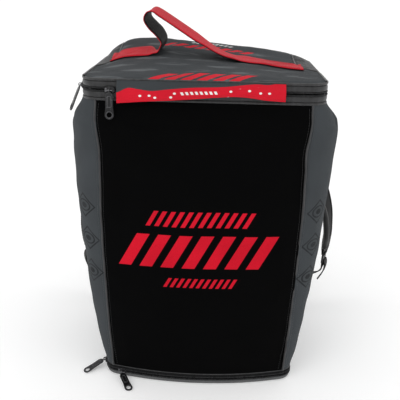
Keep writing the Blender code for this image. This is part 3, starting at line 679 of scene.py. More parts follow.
FRONT = front_fabric()
SIDE = side_fabric()
BACK = woven("back_fabric", GREY, 0.0009, wear=0.35)
PATCH = woven("patch_fabric", darker(GREY, 0.7), 0.0014, depth=0.0005)
LINING = woven("lining", (0.014, 0.014, 0.015), 0.0007, roughness=0.6)
LID = lid_fabric()
FLAP = flap_fabric()
BINDING = satin("zip_binding", (0.024, 0.024, 0.025))
PIPING = satin("piping_satin", (0.030, 0.030, 0.031), 0.40)
TAPE = woven("zip_tape", (0.007, 0.007, 0.0075), 0.0006, roughness=0.6)
COIL = moulded("zip_coil", (0.020, 0.020, 0.021), 0.30, 1500.0)
# The handle's red is darkened, a painted shade that offsets the strong light on the lid's top.
RED_WEBBING = webbing_fabric("red_webbing", darker(RED, 0.82), (0.0045, 0.0045, 0.0047))
BLACK_WEBBING = webbing_fabric("black_webbing", (0.010, 0.010, 0.0105))
BASE_FABRIC = woven("base_fabric", (0.125, 0.127, 0.129), 0.0013, roughness=0.7, depth=0.0005, wear=0.2)
STRAP_MESH = mesh_fabric("strap_mesh", (0.0095, 0.0095, 0.010))
EDGE_TAPE = satin("edge_tape", (0.012, 0.012, 0.0125), 0.55)
PLASTIC = moulded("buckle_plastic", (0.012, 0.012, 0.0125), 0.40)
BOARD = moulded("board_plastic", (0.030, 0.030, 0.031), 0.60, 500.0, 0.0002)
METAL = enamelled_metal("slider_metal")
BLACK_THREAD = plain_thread("black_thread", (0.016, 0.016, 0.017))
GREY_THREAD = plain_thread("grey_thread", (0.075, 0.080, 0.084))
RED_THREAD = plain_thread("red_thread", (0.50, 0.010, 0.022))


# ---------------------------------------------------------------- the outline, as in the CAD model
def section(z):
    """The body section at height z, read from SECTIONS with smooth slopes."""
    heights = [row[0] for row in SECTIONS]
    z = min(max(z, heights[0]), heights[-1])
    i = max(k for k in range(len(heights) - 1) if heights[k] <= z)
    before, low, high = SECTIONS[max(i - 1, 0)], SECTIONS[i], SECTIONS[i + 1]
    after = SECTIONS[min(i + 2, len(SECTIONS) - 1)]
    span = high[0] - low[0]
    t = (z - low[0]) / span
    values = []
    for k in range(1, len(low)):
        slope_low = (high[k] - before[k]) / (high[0] - before[0]) * span
        slope_high = (after[k] - low[k]) / (after[0] - low[0]) * span
        values.append(cubic(t, low[k], slope_low, high[k], slope_high))
    return values


def tangent_centre(first, first_radius, second, second_radius, radius):
    """Centre of the circle of this radius that touches both larger circles from inside, at +X."""
    apart = second - first
    reach, other = first_radius - radius, second_radius - radius
    along = (reach**2 - other**2 + apart.length_squared) / (2 * apart.length)
    aside = math.sqrt(max(reach**2 - along**2, 0.0))
    unit = apart.normalized()
    foot = first + unit * along
    sides = [foot + Vector((-unit.y, unit.x)) * aside, foot - Vector((-unit.y, unit.x)) * aside]
    return max(sides, key=lambda p: p.x)


def heading(origin, to):
    return math.atan2(to.y - origin.y, to.x - origin.x)


@functools.lru_cache(maxsize=None)
def arcs(z):
    """The right half of the outline at height z as five arcs: (centre, radius, start angle, end angle)."""
    half_width, front, back, corner, front_bow, side_bow = section(z)
    front_radius, side_radius = 1 / max(front_bow, 0.02), 1 / max(side_bow, 0.02)
    back_radius = 1 / BACK_CURVATURE
    front_centre = Vector((0, front_radius - front))
    side_centre = Vector((half_width - side_radius, (back - front) / 2))
    back_centre = Vector((0, back - back_radius))
    c1 = tangent_centre(front_centre, front_radius, side_centre, side_radius, corner)
    c2 = tangent_centre(back_centre, back_radius, side_centre, side_radius, corner)
    if c1.y > c2.y:
        c1, c2 = c2, c1
    a1, a2 = heading(front_centre, c1), heading(side_centre, c1)
    a3, a4 = heading(side_centre, c2), heading(back_centre, c2)
    return [
        (front_centre, front_radius, -math.pi / 2, a1),
        (c1, corner, a1, a2),
        (side_centre, side_radius, a2, a3),
        (c2, corner, a3, a4),
        (back_centre, back_radius, a4, math.pi / 2),
    ]


def on_arc(z, station):
    """The side, arc centre, radius and angle at a station. A negative station is the -X side, and stations
    over 5 run on round the back."""
    if station > 5:
        station -= 10
    side = -1 if station < 0 else 1
    station = min(abs(station), 5.0)
    k = min(int(station), 4)
    centre, radius, start, end = arcs(z)[k]
    return side, centre, radius, start + (end - start) * (station - k)


def outline(z, station, inset=0.0, height=None):
    """A point on the outline at height z. height, if given, is the point's own z."""
    side, centre, radius, angle = on_arc(z, station)
    reach = radius - inset
    return Vector((
        side * (centre.x + reach * math.cos(angle)),
        centre.y + reach * math.sin(angle),
        z if height is None else height,
    ))


def plan_normal(z, station):
    """The outline's outward direction in plan."""
    side, _, _, angle = on_arc(z, station)
    return Vector((side * math.cos(angle), math.sin(angle), 0))


def stations(start, end, density=1.0):
    """Stations from start to end at about even distances along the cloth."""
    marks = {0: 58, 1: 20, 2: 60, 3: 20, 4: 54}  # steps in each arc
    found = {start, end}
    for wrap in (0, 10):
        for sign in (-1, 1):
            for k, steps in marks.items():
                steps = max(int(steps * density), 3)
                found.update(wrap + sign * (k + i / steps) for i in range(steps + 1))
    low, high = min(start, end), max(start, end)
    inside = sorted({round(s, 6) for s in found if low <= s <= high})
    return inside if start < end else inside[::-1]


RIM_LOOP = stations(-5, 5)[:-1]


# ---------------------------------------------------------------- walls of the body
PANEL_BOTTOM = 0.0190
PANEL_TOP = RIM_ZIP_Z - RIM_PIPING
FRONT_CLOTH = (0.55, 1.0)  # a panel's stiffness and noise seed
BACK_CLOTH = (0.6, 70.0)
SIDE_STIFFNESS = 0.0
SEAM_SEEDS = {"left": 21, "right": 22}  # of the front seams; the back ones add 10
STITCH_OFFSET = 0.0048  # from an upright seam to the stitches on either side of it


def seam_wobble(z, seed):
    """How far a hand-guided seam wanders, in stations."""
    return 0.016 * ripple((0, 0, z), 9.0, seed) + 0.007 * ripple((0, 0, z), 31.0, seed)


def seam_distance(z, station, seam):
    """Distance in metres, along the cloth, from a seam on the same side."""
    a, b = sorted((abs(station), abs(seam)))
    total = 0.0
    for k, (_, radius, start, end) in enumerate(arcs(z)):
        share = min(b, k + 1) - max(a, k)
        if share > 0:
            total += share * radius * (end - start)
    return total


def skin(z, station, stiffness, seed):
    """How far the cloth stands off the CAD wall: it puffs out between seams, puckers at them and folds."""
    around = station - 10 if station > 5 else station
    to_front = seam_distance(z, around, FRONT_SEAM)
    to_back = seam_distance(z, around, BACK_SEAM)
    near = min(to_front, to_back)
    seat = smooth(z, PANEL_BOTTOM, PANEL_BOTTOM + 0.030) * (1 - smooth(z, PANEL_TOP - 0.030, PANEL_TOP))
    puff = 0.0022 * smooth(near, 0.0, 0.030) - 0.0012 * (1 - smooth(near, 0.0, 0.012))
    point = outline(z, station)
    pucker = (1 - smooth(near, 0.003, 0.020)) * 0.0006 * ripple((0.3 * near, 0, z), 105.0, seed)
    soft = 1.0 - 0.55 * stiffness
    drape = 0.0030 * ripple((point.x, point.y, 0.45 * point.z), 14.0, seed + 3)
    crease = 0.0014 * ripple((point.x * 0.8, point.y * 0.8, point.z), 34.0, seed + 7)
    low_folds = 0.0034 * (1 - smooth(z, 0.040, 0.140)) * ripple((point.x, point.y, 0.25 * z), 24.0, seed + 5)
    high_folds = 0.0024 * smooth(z, 0.385, 0.440) * ripple((point.x, point.y, 0.2 * z), 28.0, seed + 9)
    gather = 0.0
    for edge in (PANEL_BOTTOM, PANEL_TOP):
        close = 1 - smooth(abs(z - edge), 0.004, 0.024)
        gather += close * 0.0005 * ripple((point.x, point.y, 0), 95.0, seed + 11)
    folds = drape + crease + low_folds + high_folds
    rise = seat * (puff + pucker + soft * folds) + gather * min(seat * 4, 1)
    if around > 2:
        return rise
    room_for_pulls = 0.0008 + 0.0100 * (1 - smooth(z, 0.415, 0.445))
    return min(rise, room_for_pulls)


def wall(name, start, end, start_seed, end_seed, material, stiffness, seed):
    """A padded wall between two seams. Its UV map runs from its middle, in metres, and its height is z."""
    shares = stations(start, end)
    rows, edges, uv = [], [], []
    middle = (start + end) / 2
    for z in np.linspace(PANEL_BOTTOM, PANEL_TOP, 156):
        first = start + seam_wobble(z, start_seed)
        last = end + seam_wobble(z, end_seed)
        row = []
        for share in shares:
            t = (share - start) / (end - start)
            station = share + (first - start) * (1 - t) ** 6 + (last - end) * t**6
            out = plan_normal(z, station)
            row.append(outline(z, station) + out * skin(z, station, stiffness, seed))
        rows.append(row)
        line = np.array(row)
        run = np.concatenate([[0], np.cumsum(np.linalg.norm(np.diff(line, axis=0), axis=1))])
        order = 1 if start < end else -1
        centre = np.interp(middle, shares[::order], run[::order])
        uv.append(np.stack([run - centre, np.full(len(run), z)], axis=-1))
        edges.append(np.minimum(run, run[-1] - run))
    obj = grid(name, rows, material, LINING, uv=np.array(uv), outward=away_from_axis, marks={"edge": edges})
    return apply_all(thicken(obj, WALL, lining=1))


def welt(name, seam, sign, seed):
    """Piping on an upright seam: it follows the seam's wander and stands just off the cloth."""
    path = []
    for z in np.linspace(PANEL_BOTTOM + 0.0005, PANEL_TOP - 0.0005, 190):
        station = sign * (seam + seam_wobble(z, seed))
        out = plan_normal(z, station)
        lift = skin(z, station, 0.5, seed) + WELT_RADIUS * 0.35
        path.append(outline(z, station) + out * lift)
    return tube(name, path, WELT_RADIUS, PIPING, up=(0.3, 0.3, 0.1))


def seam_stitches(name, seam, sign, seed, offset, cloth, material):
    """A line of stitches beside an upright seam, offset metres along the cloth towards the back."""
    path, normals = [], []
    for z in np.linspace(PANEL_BOTTOM + 0.004, PANEL_TOP - 0.004, 170):
        _, radius, start, end = arcs(z)[int(seam)]
        station = sign * (seam + seam_wobble(z, seed) + offset / (radius * (end - start)))
        out = plan_normal(z, station)
        path.append(outline(z, station) + out * (skin(z, station, *cloth) + 0.0001))
        normals.append(out)
    return stitches(name, path, normals, material, 0.0040, 0.0031, 0.00030)


def build_walls():
    """The four cloth walls, the welts over their seams and the stitches beside the welts."""
    front = wall("front_wall", -FRONT_SEAM, FRONT_SEAM, 21, 22, FRONT, *FRONT_CLOTH)
    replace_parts(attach(front, "bag_body"), "front_panel")
    for side, sign in SIDES:
        seed = SEAM_SEEDS[side]
        obj = wall(f"{side}_wall", sign * FRONT_SEAM, sign * BACK_SEAM, seed, seed + 10, SIDE,
                   SIDE_STIFFNESS, 40 + seed)
        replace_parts(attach(obj, "bag_body"), f"{side}_side_panel")
    back = wall("back_wall", BACK_SEAM, 10 - BACK_SEAM, 32, 31, BACK, *BACK_CLOTH)
    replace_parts(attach(back, "bag_body"), "back_panel")
    ends = (
        ("front", FRONT_SEAM, 0, STITCH_OFFSET, FRONT_CLOTH, BLACK_THREAD, "black_fabric"),
        ("back", BACK_SEAM, 10, -STITCH_OFFSET, BACK_CLOTH, GREY_THREAD, "grey_fabric"),
    )
    for end, seam, shift, offset, end_cloth, end_thread, end_slot in ends:
        for side, sign in SIDES:
            seed = SEAM_SEEDS[side] + shift
            side_cloth = (SIDE_STIFFNESS, 40 + SEAM_SEEDS[side])
            obj = welt(f"{end}_{side}_seam", seam, sign, seed)
            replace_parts(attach(obj, "bag_body"), f"{end}_{side}_welt")
            lines = (("side", offset, side_cloth, GREY_THREAD, "grey_fabric"),
                     (end, -offset, end_cloth, end_thread, end_slot))
            for label, inward, cloth, material, slot_name in lines:
                name = f"{end}_{side}_{label}_stitches"
                thread = seam_stitches(name, seam, sign, seed, inward, cloth, material)
                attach(thread, "bag_body")


# ---------------------------------------------------------------- the two zips
def strip(name, loop, zip_z, profile, material, thickness=0.0011):
    """A strip of cloth that follows the zip's outline. Profile rows are (height from the zip line, out)."""
    rows = [[outline(zip_z, s, -out, zip_z + rise) for s in loop] for rise, out in profile]
    return apply_all(thicken(grid(name, rows, material, outward=away_from_axis), thickness))


def teeth(name, loop_start, loop_end, zip_z, sign, gap, height, depth, phase):
    """One side of a coil zip: a row of rounded teeth that mesh with the other side's."""
    line = [outline(zip_z, s) for s in stations(loop_start, loop_end, 3)]
    lengths = [(b - a).length for a, b in zip(line, line[1:])]
    total = sum(lengths)
    count = int(total / COIL_PITCH)
    run = np.concatenate([[0], np.cumsum(lengths)])
    marks = (np.arange(count) + 0.5 + phase) * (total / (count + 1))
    array = np.array(line)
    centres = np.stack([np.interp(marks, run, array[:, k]) for k in range(3)], axis=-1)
    ahead = np.stack([np.interp(marks + 0.0005, run, array[:, k]) for k in range(3)], axis=-1)
    places = []
    middle = zip_z + sign * (gap + height / 2)
    for centre, after in zip(centres, ahead):
        along = Vector(after - centre).normalized()
        out = Vector((along.y, -along.x, 0))
        if out.dot(Vector((centre[0], centre[1], 0))) < 0:
            out = -out
        upright = Matrix((Vector((0, 0, 1)), out.cross(Vector((0, 0, 1))), out)).transposed().to_4x4()
        origin = Vector((centre[0], centre[1], middle)) + out * (depth * 0.5)
        places.append(Matrix.Translation(origin) @ upright)
    return beads(name, places, capsule(height, COIL_PITCH * 0.40, depth * 0.5, 8, 5), COIL)


def zip_half(prefix, zip_z, sign, owner, body, reach, binding):
    """Tape or binding and teeth of one half for the three zipped sides, and the band round the back."""
    low, high = COIL_GAP, COIL_GAP + COIL_HEIGHT
    front = stations(-BAND_START - 0.002, BAND_START + 0.002)  # the tape's ends lie under the band
    profile = [(low, 0.0), (high, 0.0), (reach, 0.0)]
    if binding:
        profile = [(low + 0.0002, -0.0010), (high - 0.0008, -0.0008), (high - 0.0002, 0.0003),
                   (high + 0.0006, 0.0012), (high + 0.0026, 0.0016), (high + 0.0050, 0.0015),
                   (high + 0.0072, 0.0010), (reach, 0.0)]
    profile = [(rise * sign, out) for rise, out in profile]
    tape = strip(f"{prefix}_binding_{owner}", front, zip_z, profile, BINDING if binding else TAPE)
    coil = teeth(f"{prefix}_teeth_{owner}", -ZIP_END + 0.02, ZIP_END - 0.02, zip_z, sign, low, COIL_HEIGHT,
                 COIL_DEPTH - 0.0004, 0.25 * sign)
    cord = [(low + 0.0011, 0.0006), (high - 0.0002, 0.0009), (high, 0.0002)]
    backing = strip(f"{prefix}_coil_cord_{owner}", front, zip_z, [(rise * sign, out) for rise, out in cord],
                    TAPE, 0.0006)
    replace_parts(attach(tape, body), f"{prefix}_tape_{owner}")
    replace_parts(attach(coil, body), f"{prefix}_coil_{owner}")
    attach(backing, body)
    rear = stations(BAND_START, 10 - BAND_START)
    proud = 0.0013 if binding else 0.0006  # how far the band stands out at its middle
    middle = (high + reach) / 2
    profile = [(low, 0.0), (low + 0.0010, 0.0002), (high, 0.0005), (middle, proud),
               (reach - 0.0012, proud * 0.8), (reach, 0.0002)]
    profile = [(rise * sign, out) for rise, out in profile]
    band = strip(f"{prefix}_rear_{owner}", rear, zip_z, profile, BACK, 0.0022)
    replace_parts(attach(band, body), f"rear_{prefix}_band_{owner}")
    sewn = [outline(zip_z, s, -proud - 0.0001, zip_z + sign * middle) for s in rear]
    normals = [plan_normal(zip_z, s) for s in rear]
    thread = stitches(f"{prefix}_rear_stitches_{owner}", sewn, normals, GREY_THREAD, 0.0040, 0.0030, 0.0003)
    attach(thread, body)


def build_zips():
    """Both zips with their piping, and the gussets inside the two hinges."""
    zip_half("rim", RIM_ZIP_Z, 1, "lid", "lid", TAPE_END, True)
    zip_half("rim", RIM_ZIP_Z, -1, "body", "bag_body", TAPE_END, True)
    zip_half("base", BASE_ZIP_Z, 1, "body", "bag_body", BASE_TAPE_END, False)
    zip_half("base", BASE_ZIP_Z, -1, "tray", "base_tray", 0.0050, False)
    for name, body, zip_z, offset, radius in (
        ("rim_piping_body", "bag_body", RIM_ZIP_Z, -RIM_PIPING, 0.0020),
        ("rim_piping_lid", "lid", RIM_ZIP_Z, RIM_PIPING, 0.0020),
        ("base_piping_body", "bag_body", BASE_ZIP_Z, BASE_PIPING, 0.0010),
    ):
        path = [outline(zip_z, s, -0.0004 * ripple((s, 0, 0), 3.0, 5), zip_z + offset) for s in RIM_LOOP]
        obj = tube(f"{name}_cord", path, radius, PIPING, sides=12, closed=True)
        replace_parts(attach(obj, body), name)
    # Inside both hinges lies a soft gusset, one at the lid and one at the tray.
    gusset_inset, gusset_reach = 0.0012, 0.0034
    behind = stations(4.05, 5.95)
    for name, body, zip_z, sign in (
        ("lid_gusset", "lid", RIM_ZIP_Z, 1),
        ("base_gusset", "base_tray", BASE_ZIP_Z, -1),
    ):
        levels = np.linspace(-gusset_reach * sign, gusset_reach * sign, 9)
        rows = [[outline(zip_z, s, gusset_inset, zip_z + rise) for s in behind] for rise in levels]
        obj = grid(name, rows, BACK, outward=(0, 1, 0))
        apply_all(thicken(obj, 0.0008, 0.0))
        y = outline(zip_z, 5).y - gusset_inset
        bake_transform(obj)


# ---------------------------------------------------------------- lid
LID_X = [-0.183, -0.162, -0.146, -0.130, -0.080, 0.0, 0.080, 0.130, 0.150, 0.166, 0.183]
LID_Y = [-0.140, -0.100, -0.050, 0.010, 0.060, 0.100, 0.128, 0.140]
LID_RISE = [
    [0, 0, 0, 0, 0, 0, 0, 0, 0, 0, 0],
    [0, 1, 3, 5, 6, 6, 4, 2, 1, 1, 0],
    [0, 2, 6, 9, 12, 10, 6, 3, 2, 1, 0],
    [0, 5, 10, 14, 18, 14, 8, 3, 1, 0, 0],
    [0, 13, 20, 24, 28, 22, 14, 9, 7, 4, 0],
    [0, 19, 28, 33, 34, 29, 22, 16, 12, 6, 0],
    [0, 9, 15, 19, 21, 18, 13, 9, 7, 3, 0],
    [0, 0, 0, 0, 0, 0, 0, 0, 0, 0, 0],
]
LID_BASE = 0.5110


def lid_rise(x, y):
    """Height of the slack lid over its edge, from LID_RISE in millimetres."""
    column = [hermite(LID_X, row, x) for row in LID_RISE]
    return hermite(LID_Y, column, y) / 1000


def flank_edge(y):
    """Distance from the middle of the lid to the seam between its face and its flank."""
    return 0.150 + 0.030 * float(smooth(-y, -0.020, 0.040))


def lid_point(x, y, edge):
    """A point on the lid's cloth. edge is the distance from its rim, in metres."""
    folds = 0.0018 * ripple((x, y, 0), 22.0, 81) + 0.0009 * ripple((x, y, 0), 47.0, 83)
    flank = float(smooth(abs(x) - flank_edge(y), -0.002, 0.006))
    sag = -0.0022 * math.exp(-((abs(x) - flank_edge(y)) / 0.004) ** 2) * min(edge / 0.02, 1)
    tucks = flank * 0.0016 * ripple((x * 0.6, y, 0), 75.0, 85)
    inner = float(smooth(edge, 0.002, 0.022))
    drop = -0.0016 * (1 - float(smooth(edge, 0.0, 0.006)))
    return Vector((x, y, LID_BASE + lid_rise(x, y) * float(smooth(edge, 0.0, 0.016)) ** 0.6
                   + inner * (folds + sag + tucks) + drop))


def lid_surface(x, y):
    """Height of the lid's upper face at a place well inside its rim."""
    edge = min(RIM_HALF_WIDTH - abs(x), RIM_HALF_DEPTH - abs(y))
    return lid_point(x, y, edge).z


def build_lid():
    """The lid's face maps a square to the rim's outline, so that the cloth has no pole."""
    count_x, count_y = 125, 101
    rows, edges, flanks, uv = [], [], [], []
    corner = LID_RADIUS
    for j in range(count_y):
        b = -1 + 2 * j / (count_y - 1)
        row = []
        for i in range(count_x):
            a = -1 + 2 * i / (count_x - 1)
            x, y = a * RIM_HALF_WIDTH, b * RIM_HALF_DEPTH
            over_x = max(abs(x) - (RIM_HALF_WIDTH - corner), 0) / corner
            over_y = max(abs(y) - (RIM_HALF_DEPTH - corner), 0) / corner
            if over_x > 0 and over_y > 0:
                pull_x = over_x * math.sqrt(1 - over_y**2 / 2)
                pull_y = over_y * math.sqrt(1 - over_x**2 / 2)
                x = math.copysign(RIM_HALF_WIDTH - corner + pull_x * corner, x)
                y = math.copysign(RIM_HALF_DEPTH - corner + pull_y * corner, y)
                edge = corner * (1 - math.hypot(pull_x, pull_y))
            else:
                edge = min(RIM_HALF_WIDTH - abs(x), RIM_HALF_DEPTH - abs(y))
            edge = max(edge, 0.0)
            row.append(lid_point(x, y, edge))
            edges.append(edge)
            flanks.append(abs(x) - flank_edge(y))
            uv.append((x, y))
        rows.append(row)
    shape = (count_y, count_x)
    face = grid("lid_face", rows, LID, LINING, outward=(0, 0, 1), uv=np.array(uv).reshape(*shape, 2),
                marks={"edge": np.array(edges).reshape(shape), "flank": np.array(flanks).reshape(shape)})
    apply_all(thicken(face, 0.0030, lining=1))
    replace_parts(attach(face, "lid"), "lid_panel")
    for side, sign in SIDES:
        path = []
        for y in np.linspace(-RIM_HALF_DEPTH + 0.014, RIM_HALF_DEPTH - 0.006, 110):
            x = sign * flank_edge(y)
            path.append(Vector((x, y, lid_surface(x, y) + 0.0007)))
        cord = tube(f"lid_{side}_seam", path, 0.0014, PIPING, sides=8)
        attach(cord, "lid")
        for label, shift, material in (("inner", -0.0040, GREY_THREAD), ("outer", 0.0040, BLACK_THREAD)):
            sewn = [Vector((sign * (flank_edge(y) + shift), y, 0)) for y in np.linspace(-0.120, 0.128, 90)]
            for p in sewn:
                p.z = lid_surface(p.x, p.y) + 0.0001
            thread = stitches(f"lid_{side}_{label}_stitches", sewn, [(0, 0, 1)] * len(sewn), material,
                              0.0040, 0.0030, 0.00028)
            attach(thread, "lid")


# ---------------------------------------------------------------- storm flap
FLAP_X = [-0.131, -0.091, -0.045, -0.011, 0.020, 0.049, 0.071, 0.089, 0.121]
FLAP_HEM = [0.4748, 0.4782, 0.4812, 0.4842, 0.4872, 0.4886, 0.4872, 0.4846, 0.4832]
RED_X = [-0.131, -0.126, -0.111, -0.097, -0.077, -0.054, -0.019, 0.028, 0.074, 0.094, 0.110, 0.124]
RED_TOP = [0.4905, 0.4914, 0.4980, 0.4966, 0.4944, 0.4970, 0.5002, 0.5022, 0.5066, 0.5062, 0.5090, 0.5100]


def build_flap():
    """A two-tone flap from the lid's front seam down over the zip, gathered a little along its hem."""
    top_z, front = 0.5088, RIM_HALF_DEPTH + 0.0024
    rows, uv, reds = [], [], []
    xs = np.linspace(-0.1280, 0.1190, 150)
    count = 34
    for k in range(count):
        share = k / (count - 1)
        row = []
        for x in xs:
            hem = hermite(FLAP_X, FLAP_HEM, x)
            drop = share * (top_z - hem)
            out = 0.0018 + 0.0085 * float(smooth(drop, 0.0, 0.0125)) - 0.0010 * share
            wave = (0.0006 * share * ripple((x, 0.3 * share, 0), 30.0, 91)
                    + 0.0004 * ripple((x, share, 0), 60.0, 93))
            z = top_z - drop - 0.0012 * (1 - float(smooth(drop, 0.0, 0.004)))
            row.append(Vector((x, -(front + out + wave * min(share * 4, 1)), z)))
            reds.append(hermite(RED_X, RED_TOP, x) - z)
            uv.append((x, z))
        rows.append(row)
    shape = (count, len(xs))
    flap = grid("storm_flap_cloth", rows, FLAP, FLAP, outward=(0, -1, 0), uv=np.array(uv).reshape(*shape, 2),
                marks={"red": np.array(reds).reshape(shape)})
    apply_all(thicken(flap, 0.0012))
    hem = [p + Vector((0, -0.0001, 0.0022)) for p in rows[-1]]
    seam = [Vector((x, 0, hermite(RED_X, RED_TOP, x) + 0.0011)) for x in xs]
    for column, p in enumerate(seam):
        zs = [row[column].z for row in rows][::-1]
        ys = [row[column].y for row in rows][::-1]
        p.y = float(np.interp(p.z, zs, ys)) - 0.0001
    seam = [p for p in seam if p.z < top_z - 0.003]
    forward = (0, -1, 0)
    sewn = [stitches("flap_hem", hem, [forward] * len(hem), RED_THREAD, 0.0034, 0.0026, 0.00026),
            stitches("flap_seam", seam, [forward] * len(seam), GREY_THREAD, 0.0034, 0.0026, 0.00024)]
    flap = join("storm_flap_cloth", [flap, *sewn])
    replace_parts(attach(flap, "storm_flap"), "storm_flap")


# ---------------------------------------------------------------- grab handle
def handle_y(x):
    """The handle's centre line in plan: its right end is sewn a little nearer the front."""
    return HANDLE_Y - 0.018 * float(smooth(x, 0.0, 0.150))


def build_handle():
    """One ribbon of red webbing, sewn to the lid at both ends, with a free loop that leans and folds over."""
    loop = [(-0.0715, 0.5470), (-0.0730, 0.5550), (-0.0800, 0.5650), (-0.0900, 0.5745), (-0.0978, 0.5850),
            (-0.0960, 0.5950), (-0.0870, 0.5990), (-0.0770, 0.5940), (-0.0535, 0.5795), (-0.0202, 0.5583),
            (-0.0020, 0.5470)]
    left_foot = [(-0.0810, 0.5325), (-0.0750, 0.5400)]
    right_foot = [(0.0135, 0.5374), (0.0295, 0.5302), (0.0465, 0.5258)]
    leans = [6, 11, 14, 14, 11, 3, -6, -9, -9, -9, -5]  # the loop's lean at each of its points, in degrees
    lift = 0.0021
    thick = 0.0022
    steps = 6

    def on_lid(x):
        return (x, lid_surface(x, HANDLE_Y) + lift)

    left = [on_lid(x) for x in (-0.158, -0.146, -0.134, -0.122, -0.110, -0.099, -0.091)]
    right = [on_lid(x) for x in (0.064, 0.080, 0.094, 0.108, 0.122, 0.136, 0.148, 0.157)]
    line = catmull([(x, 0, z) for x, z in left + left_foot + loop + right_foot + right], steps)
    loop_start = len(left) + len(left_foot)
    rows, uv = [], []
    run = 0.0
    for i, p in enumerate(line):
        before, after = line[max(i - 1, 0)], line[min(i + 1, len(line) - 1)]
        along = (after - before).normalized()
        run += (p - line[i - 1]).length if i else 0.0
        mark = i / steps - loop_start
        lean = math.radians(float(np.interp(mark, [-2, *range(len(leans)), len(leans) + 2], [0, *leans, 0])))
        sewn = max(1 - float(smooth(p.x, -0.096, -0.084)), float(smooth(p.x, 0.042, 0.070)))
        sewn *= 1 - float(smooth(p.z, 0.536, 0.542))
        centre = Vector((p.x, handle_y(p.x), p.z))
        across = Vector((0, 1, 0)) * math.cos(lean) + Vector((along.z, 0, -along.x)) * math.sin(lean)
        row = []
        for k in range(9):
            w = (k / 8 - 0.5) * HANDLE_WIDTH
            q = centre + across * w
            if sewn > 0:
                q.z += sewn * (lid_surface(q.x, q.y) + lift - q.z)
            row.append(q)
            uv.append((run, w))
        rows.append(row)
    ribbon = grid("handle_webbing", rows, RED_WEBBING, uv=np.array(uv).reshape(len(line), 9, 2))
    faces_up = sum(f.normal.z for f in ribbon.data.polygons if f.center.x > 0.06)
    if faces_up < 0:
        ribbon.data.flip_normals()
    modifier = ribbon.modifiers.new("thickness", "SOLIDIFY")
    modifier.thickness = thick
    modifier.offset = 0.0
    mesh = apply_all(ribbon).data
    # Solidify keeps one face's points first and then adds the other's, so half of them are the underside.
    centres = np.array(rows).reshape(-1, 3)
    rightmost = int(np.argmax(centres[:, 0]))
    under = np.zeros(len(mesh.vertices), np.float32)
    under[len(under) // 2:] = 1.0
    if mesh.vertices[rightmost].co.z <= centres[rightmost, 2]:
        under = 1.0 - under
    mesh.attributes.new("under", "FLOAT", "POINT").data.foreach_set("value", under)
    parts = [ribbon]
    inset = HANDLE_WIDTH / 2 - 0.004
    ends = np.linspace(0, 1, 16)
    for start, stop in ((-0.152, -0.100), (0.100, 0.151)):
        xs = np.linspace(start, stop, 24)
        ys = [handle_y(x) for x in xs]
        box = [(x, y - inset) for x, y in zip(xs, ys)]
        box += [(xs[-1], ys[-1] - inset + 2 * inset * t) for t in ends]
        box += [(x, y + inset) for x, y in zip(xs[::-1], ys[::-1])]
        box += [(xs[0], ys[0] + inset - 2 * inset * t) for t in ends]
        cross = [(xs[0] + (xs[-1] - xs[0]) * t, ys[0] - inset + 2 * inset * t) for t in np.linspace(0, 1, 24)]
        for label, flat in (("box", box), ("cross", cross)):
            points = [Vector((x, y, lid_surface(x, y) + lift + thick / 2)) for x, y in flat]
            parts.append(stitches(f"handle_{label}", points, [(0, 0, 1)] * len(points), RED_THREAD,
                                  0.0036, 0.0029, 0.00042))
    ribbon = join("handle_webbing", parts)
    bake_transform(ribbon)
    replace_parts(ribbon, "grab_handle", "handle_end_left", "handle_end_right")


# ---------------------------------------------------------------- base tray
def build_base():
    """The base tray: a nearly flat floor, a rounded corner and a lip that is sewn to the zip."""
    rows, edges = [], []
    corner = 0.0045
    for share in np.linspace(0.02, 0.955, 26):
        ring = []
        for s in RIM_LOOP:
            p = outline(BASE_ZIP_Z, s)
            height = 0.0006 * (1 - share) * (1 + ripple((p.x * share, p.y * share, 0), 20.0, 61))
            ring.append(Vector((p.x * share, p.y * share, height)))
        rows.append(ring)
        edges.append([0.02] * len(ring))
    for turn in np.linspace(0.1, math.pi / 2, 6):
        inset = corner * (1 - math.sin(turn)) * 0.7
        height = corner * (1 - math.cos(turn))
        rows.append([outline(BASE_ZIP_Z, s, inset, height) for s in RIM_LOOP])
        edges.append([0.004 * abs(turn - 0.8) for _ in RIM_LOOP])
    for rise, out in ((0.0054, 0.0006), (0.0068, 0.0010), (0.0074, 0.0006)):
        rows.append([outline(BASE_ZIP_Z, s, -out, rise) for s in RIM_LOOP])
        edges.append([0.006] * len(RIM_LOOP))
    tray = grid("base_tray_shell", rows, BASE_FABRIC, LINING, closed=True, outward=(0, 0, -1),
                marks={"edge": edges})
    apply_all(thicken(tray, 0.0022, lining=1))
    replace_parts(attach(tray, "base_tray"), "base_panel")
    sewn = [outline(BASE_ZIP_Z, s, -0.0010, 0.0064) for s in RIM_LOOP]
    normals = [plan_normal(BASE_ZIP_Z, s) for s in RIM_LOOP]
    thread = stitches("base_tray_stitches", sewn, normals, GREY_THREAD, 0.0042, 0.0032, 0.00030)
    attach(thread, "base_tray")


# ---------------------------------------------------------------- sliders and pulls
PLATE = 0.0014
SLIDER_LENGTH = 0.0150
SLIDER_HEIGHT = 0.0098
PULL_LENGTH = 0.0400
PULL_WIDTH = 0.0135
PULL_THICKNESS = 0.0018
PULL_HOLE = 0.0038
EYE_RADIUS = 0.0025
EYE_WIRE = 0.0006
PULL_START = -0.0027
BAR_OUT = 0.0072
CLEAR_OF_TAPE = 0.0001


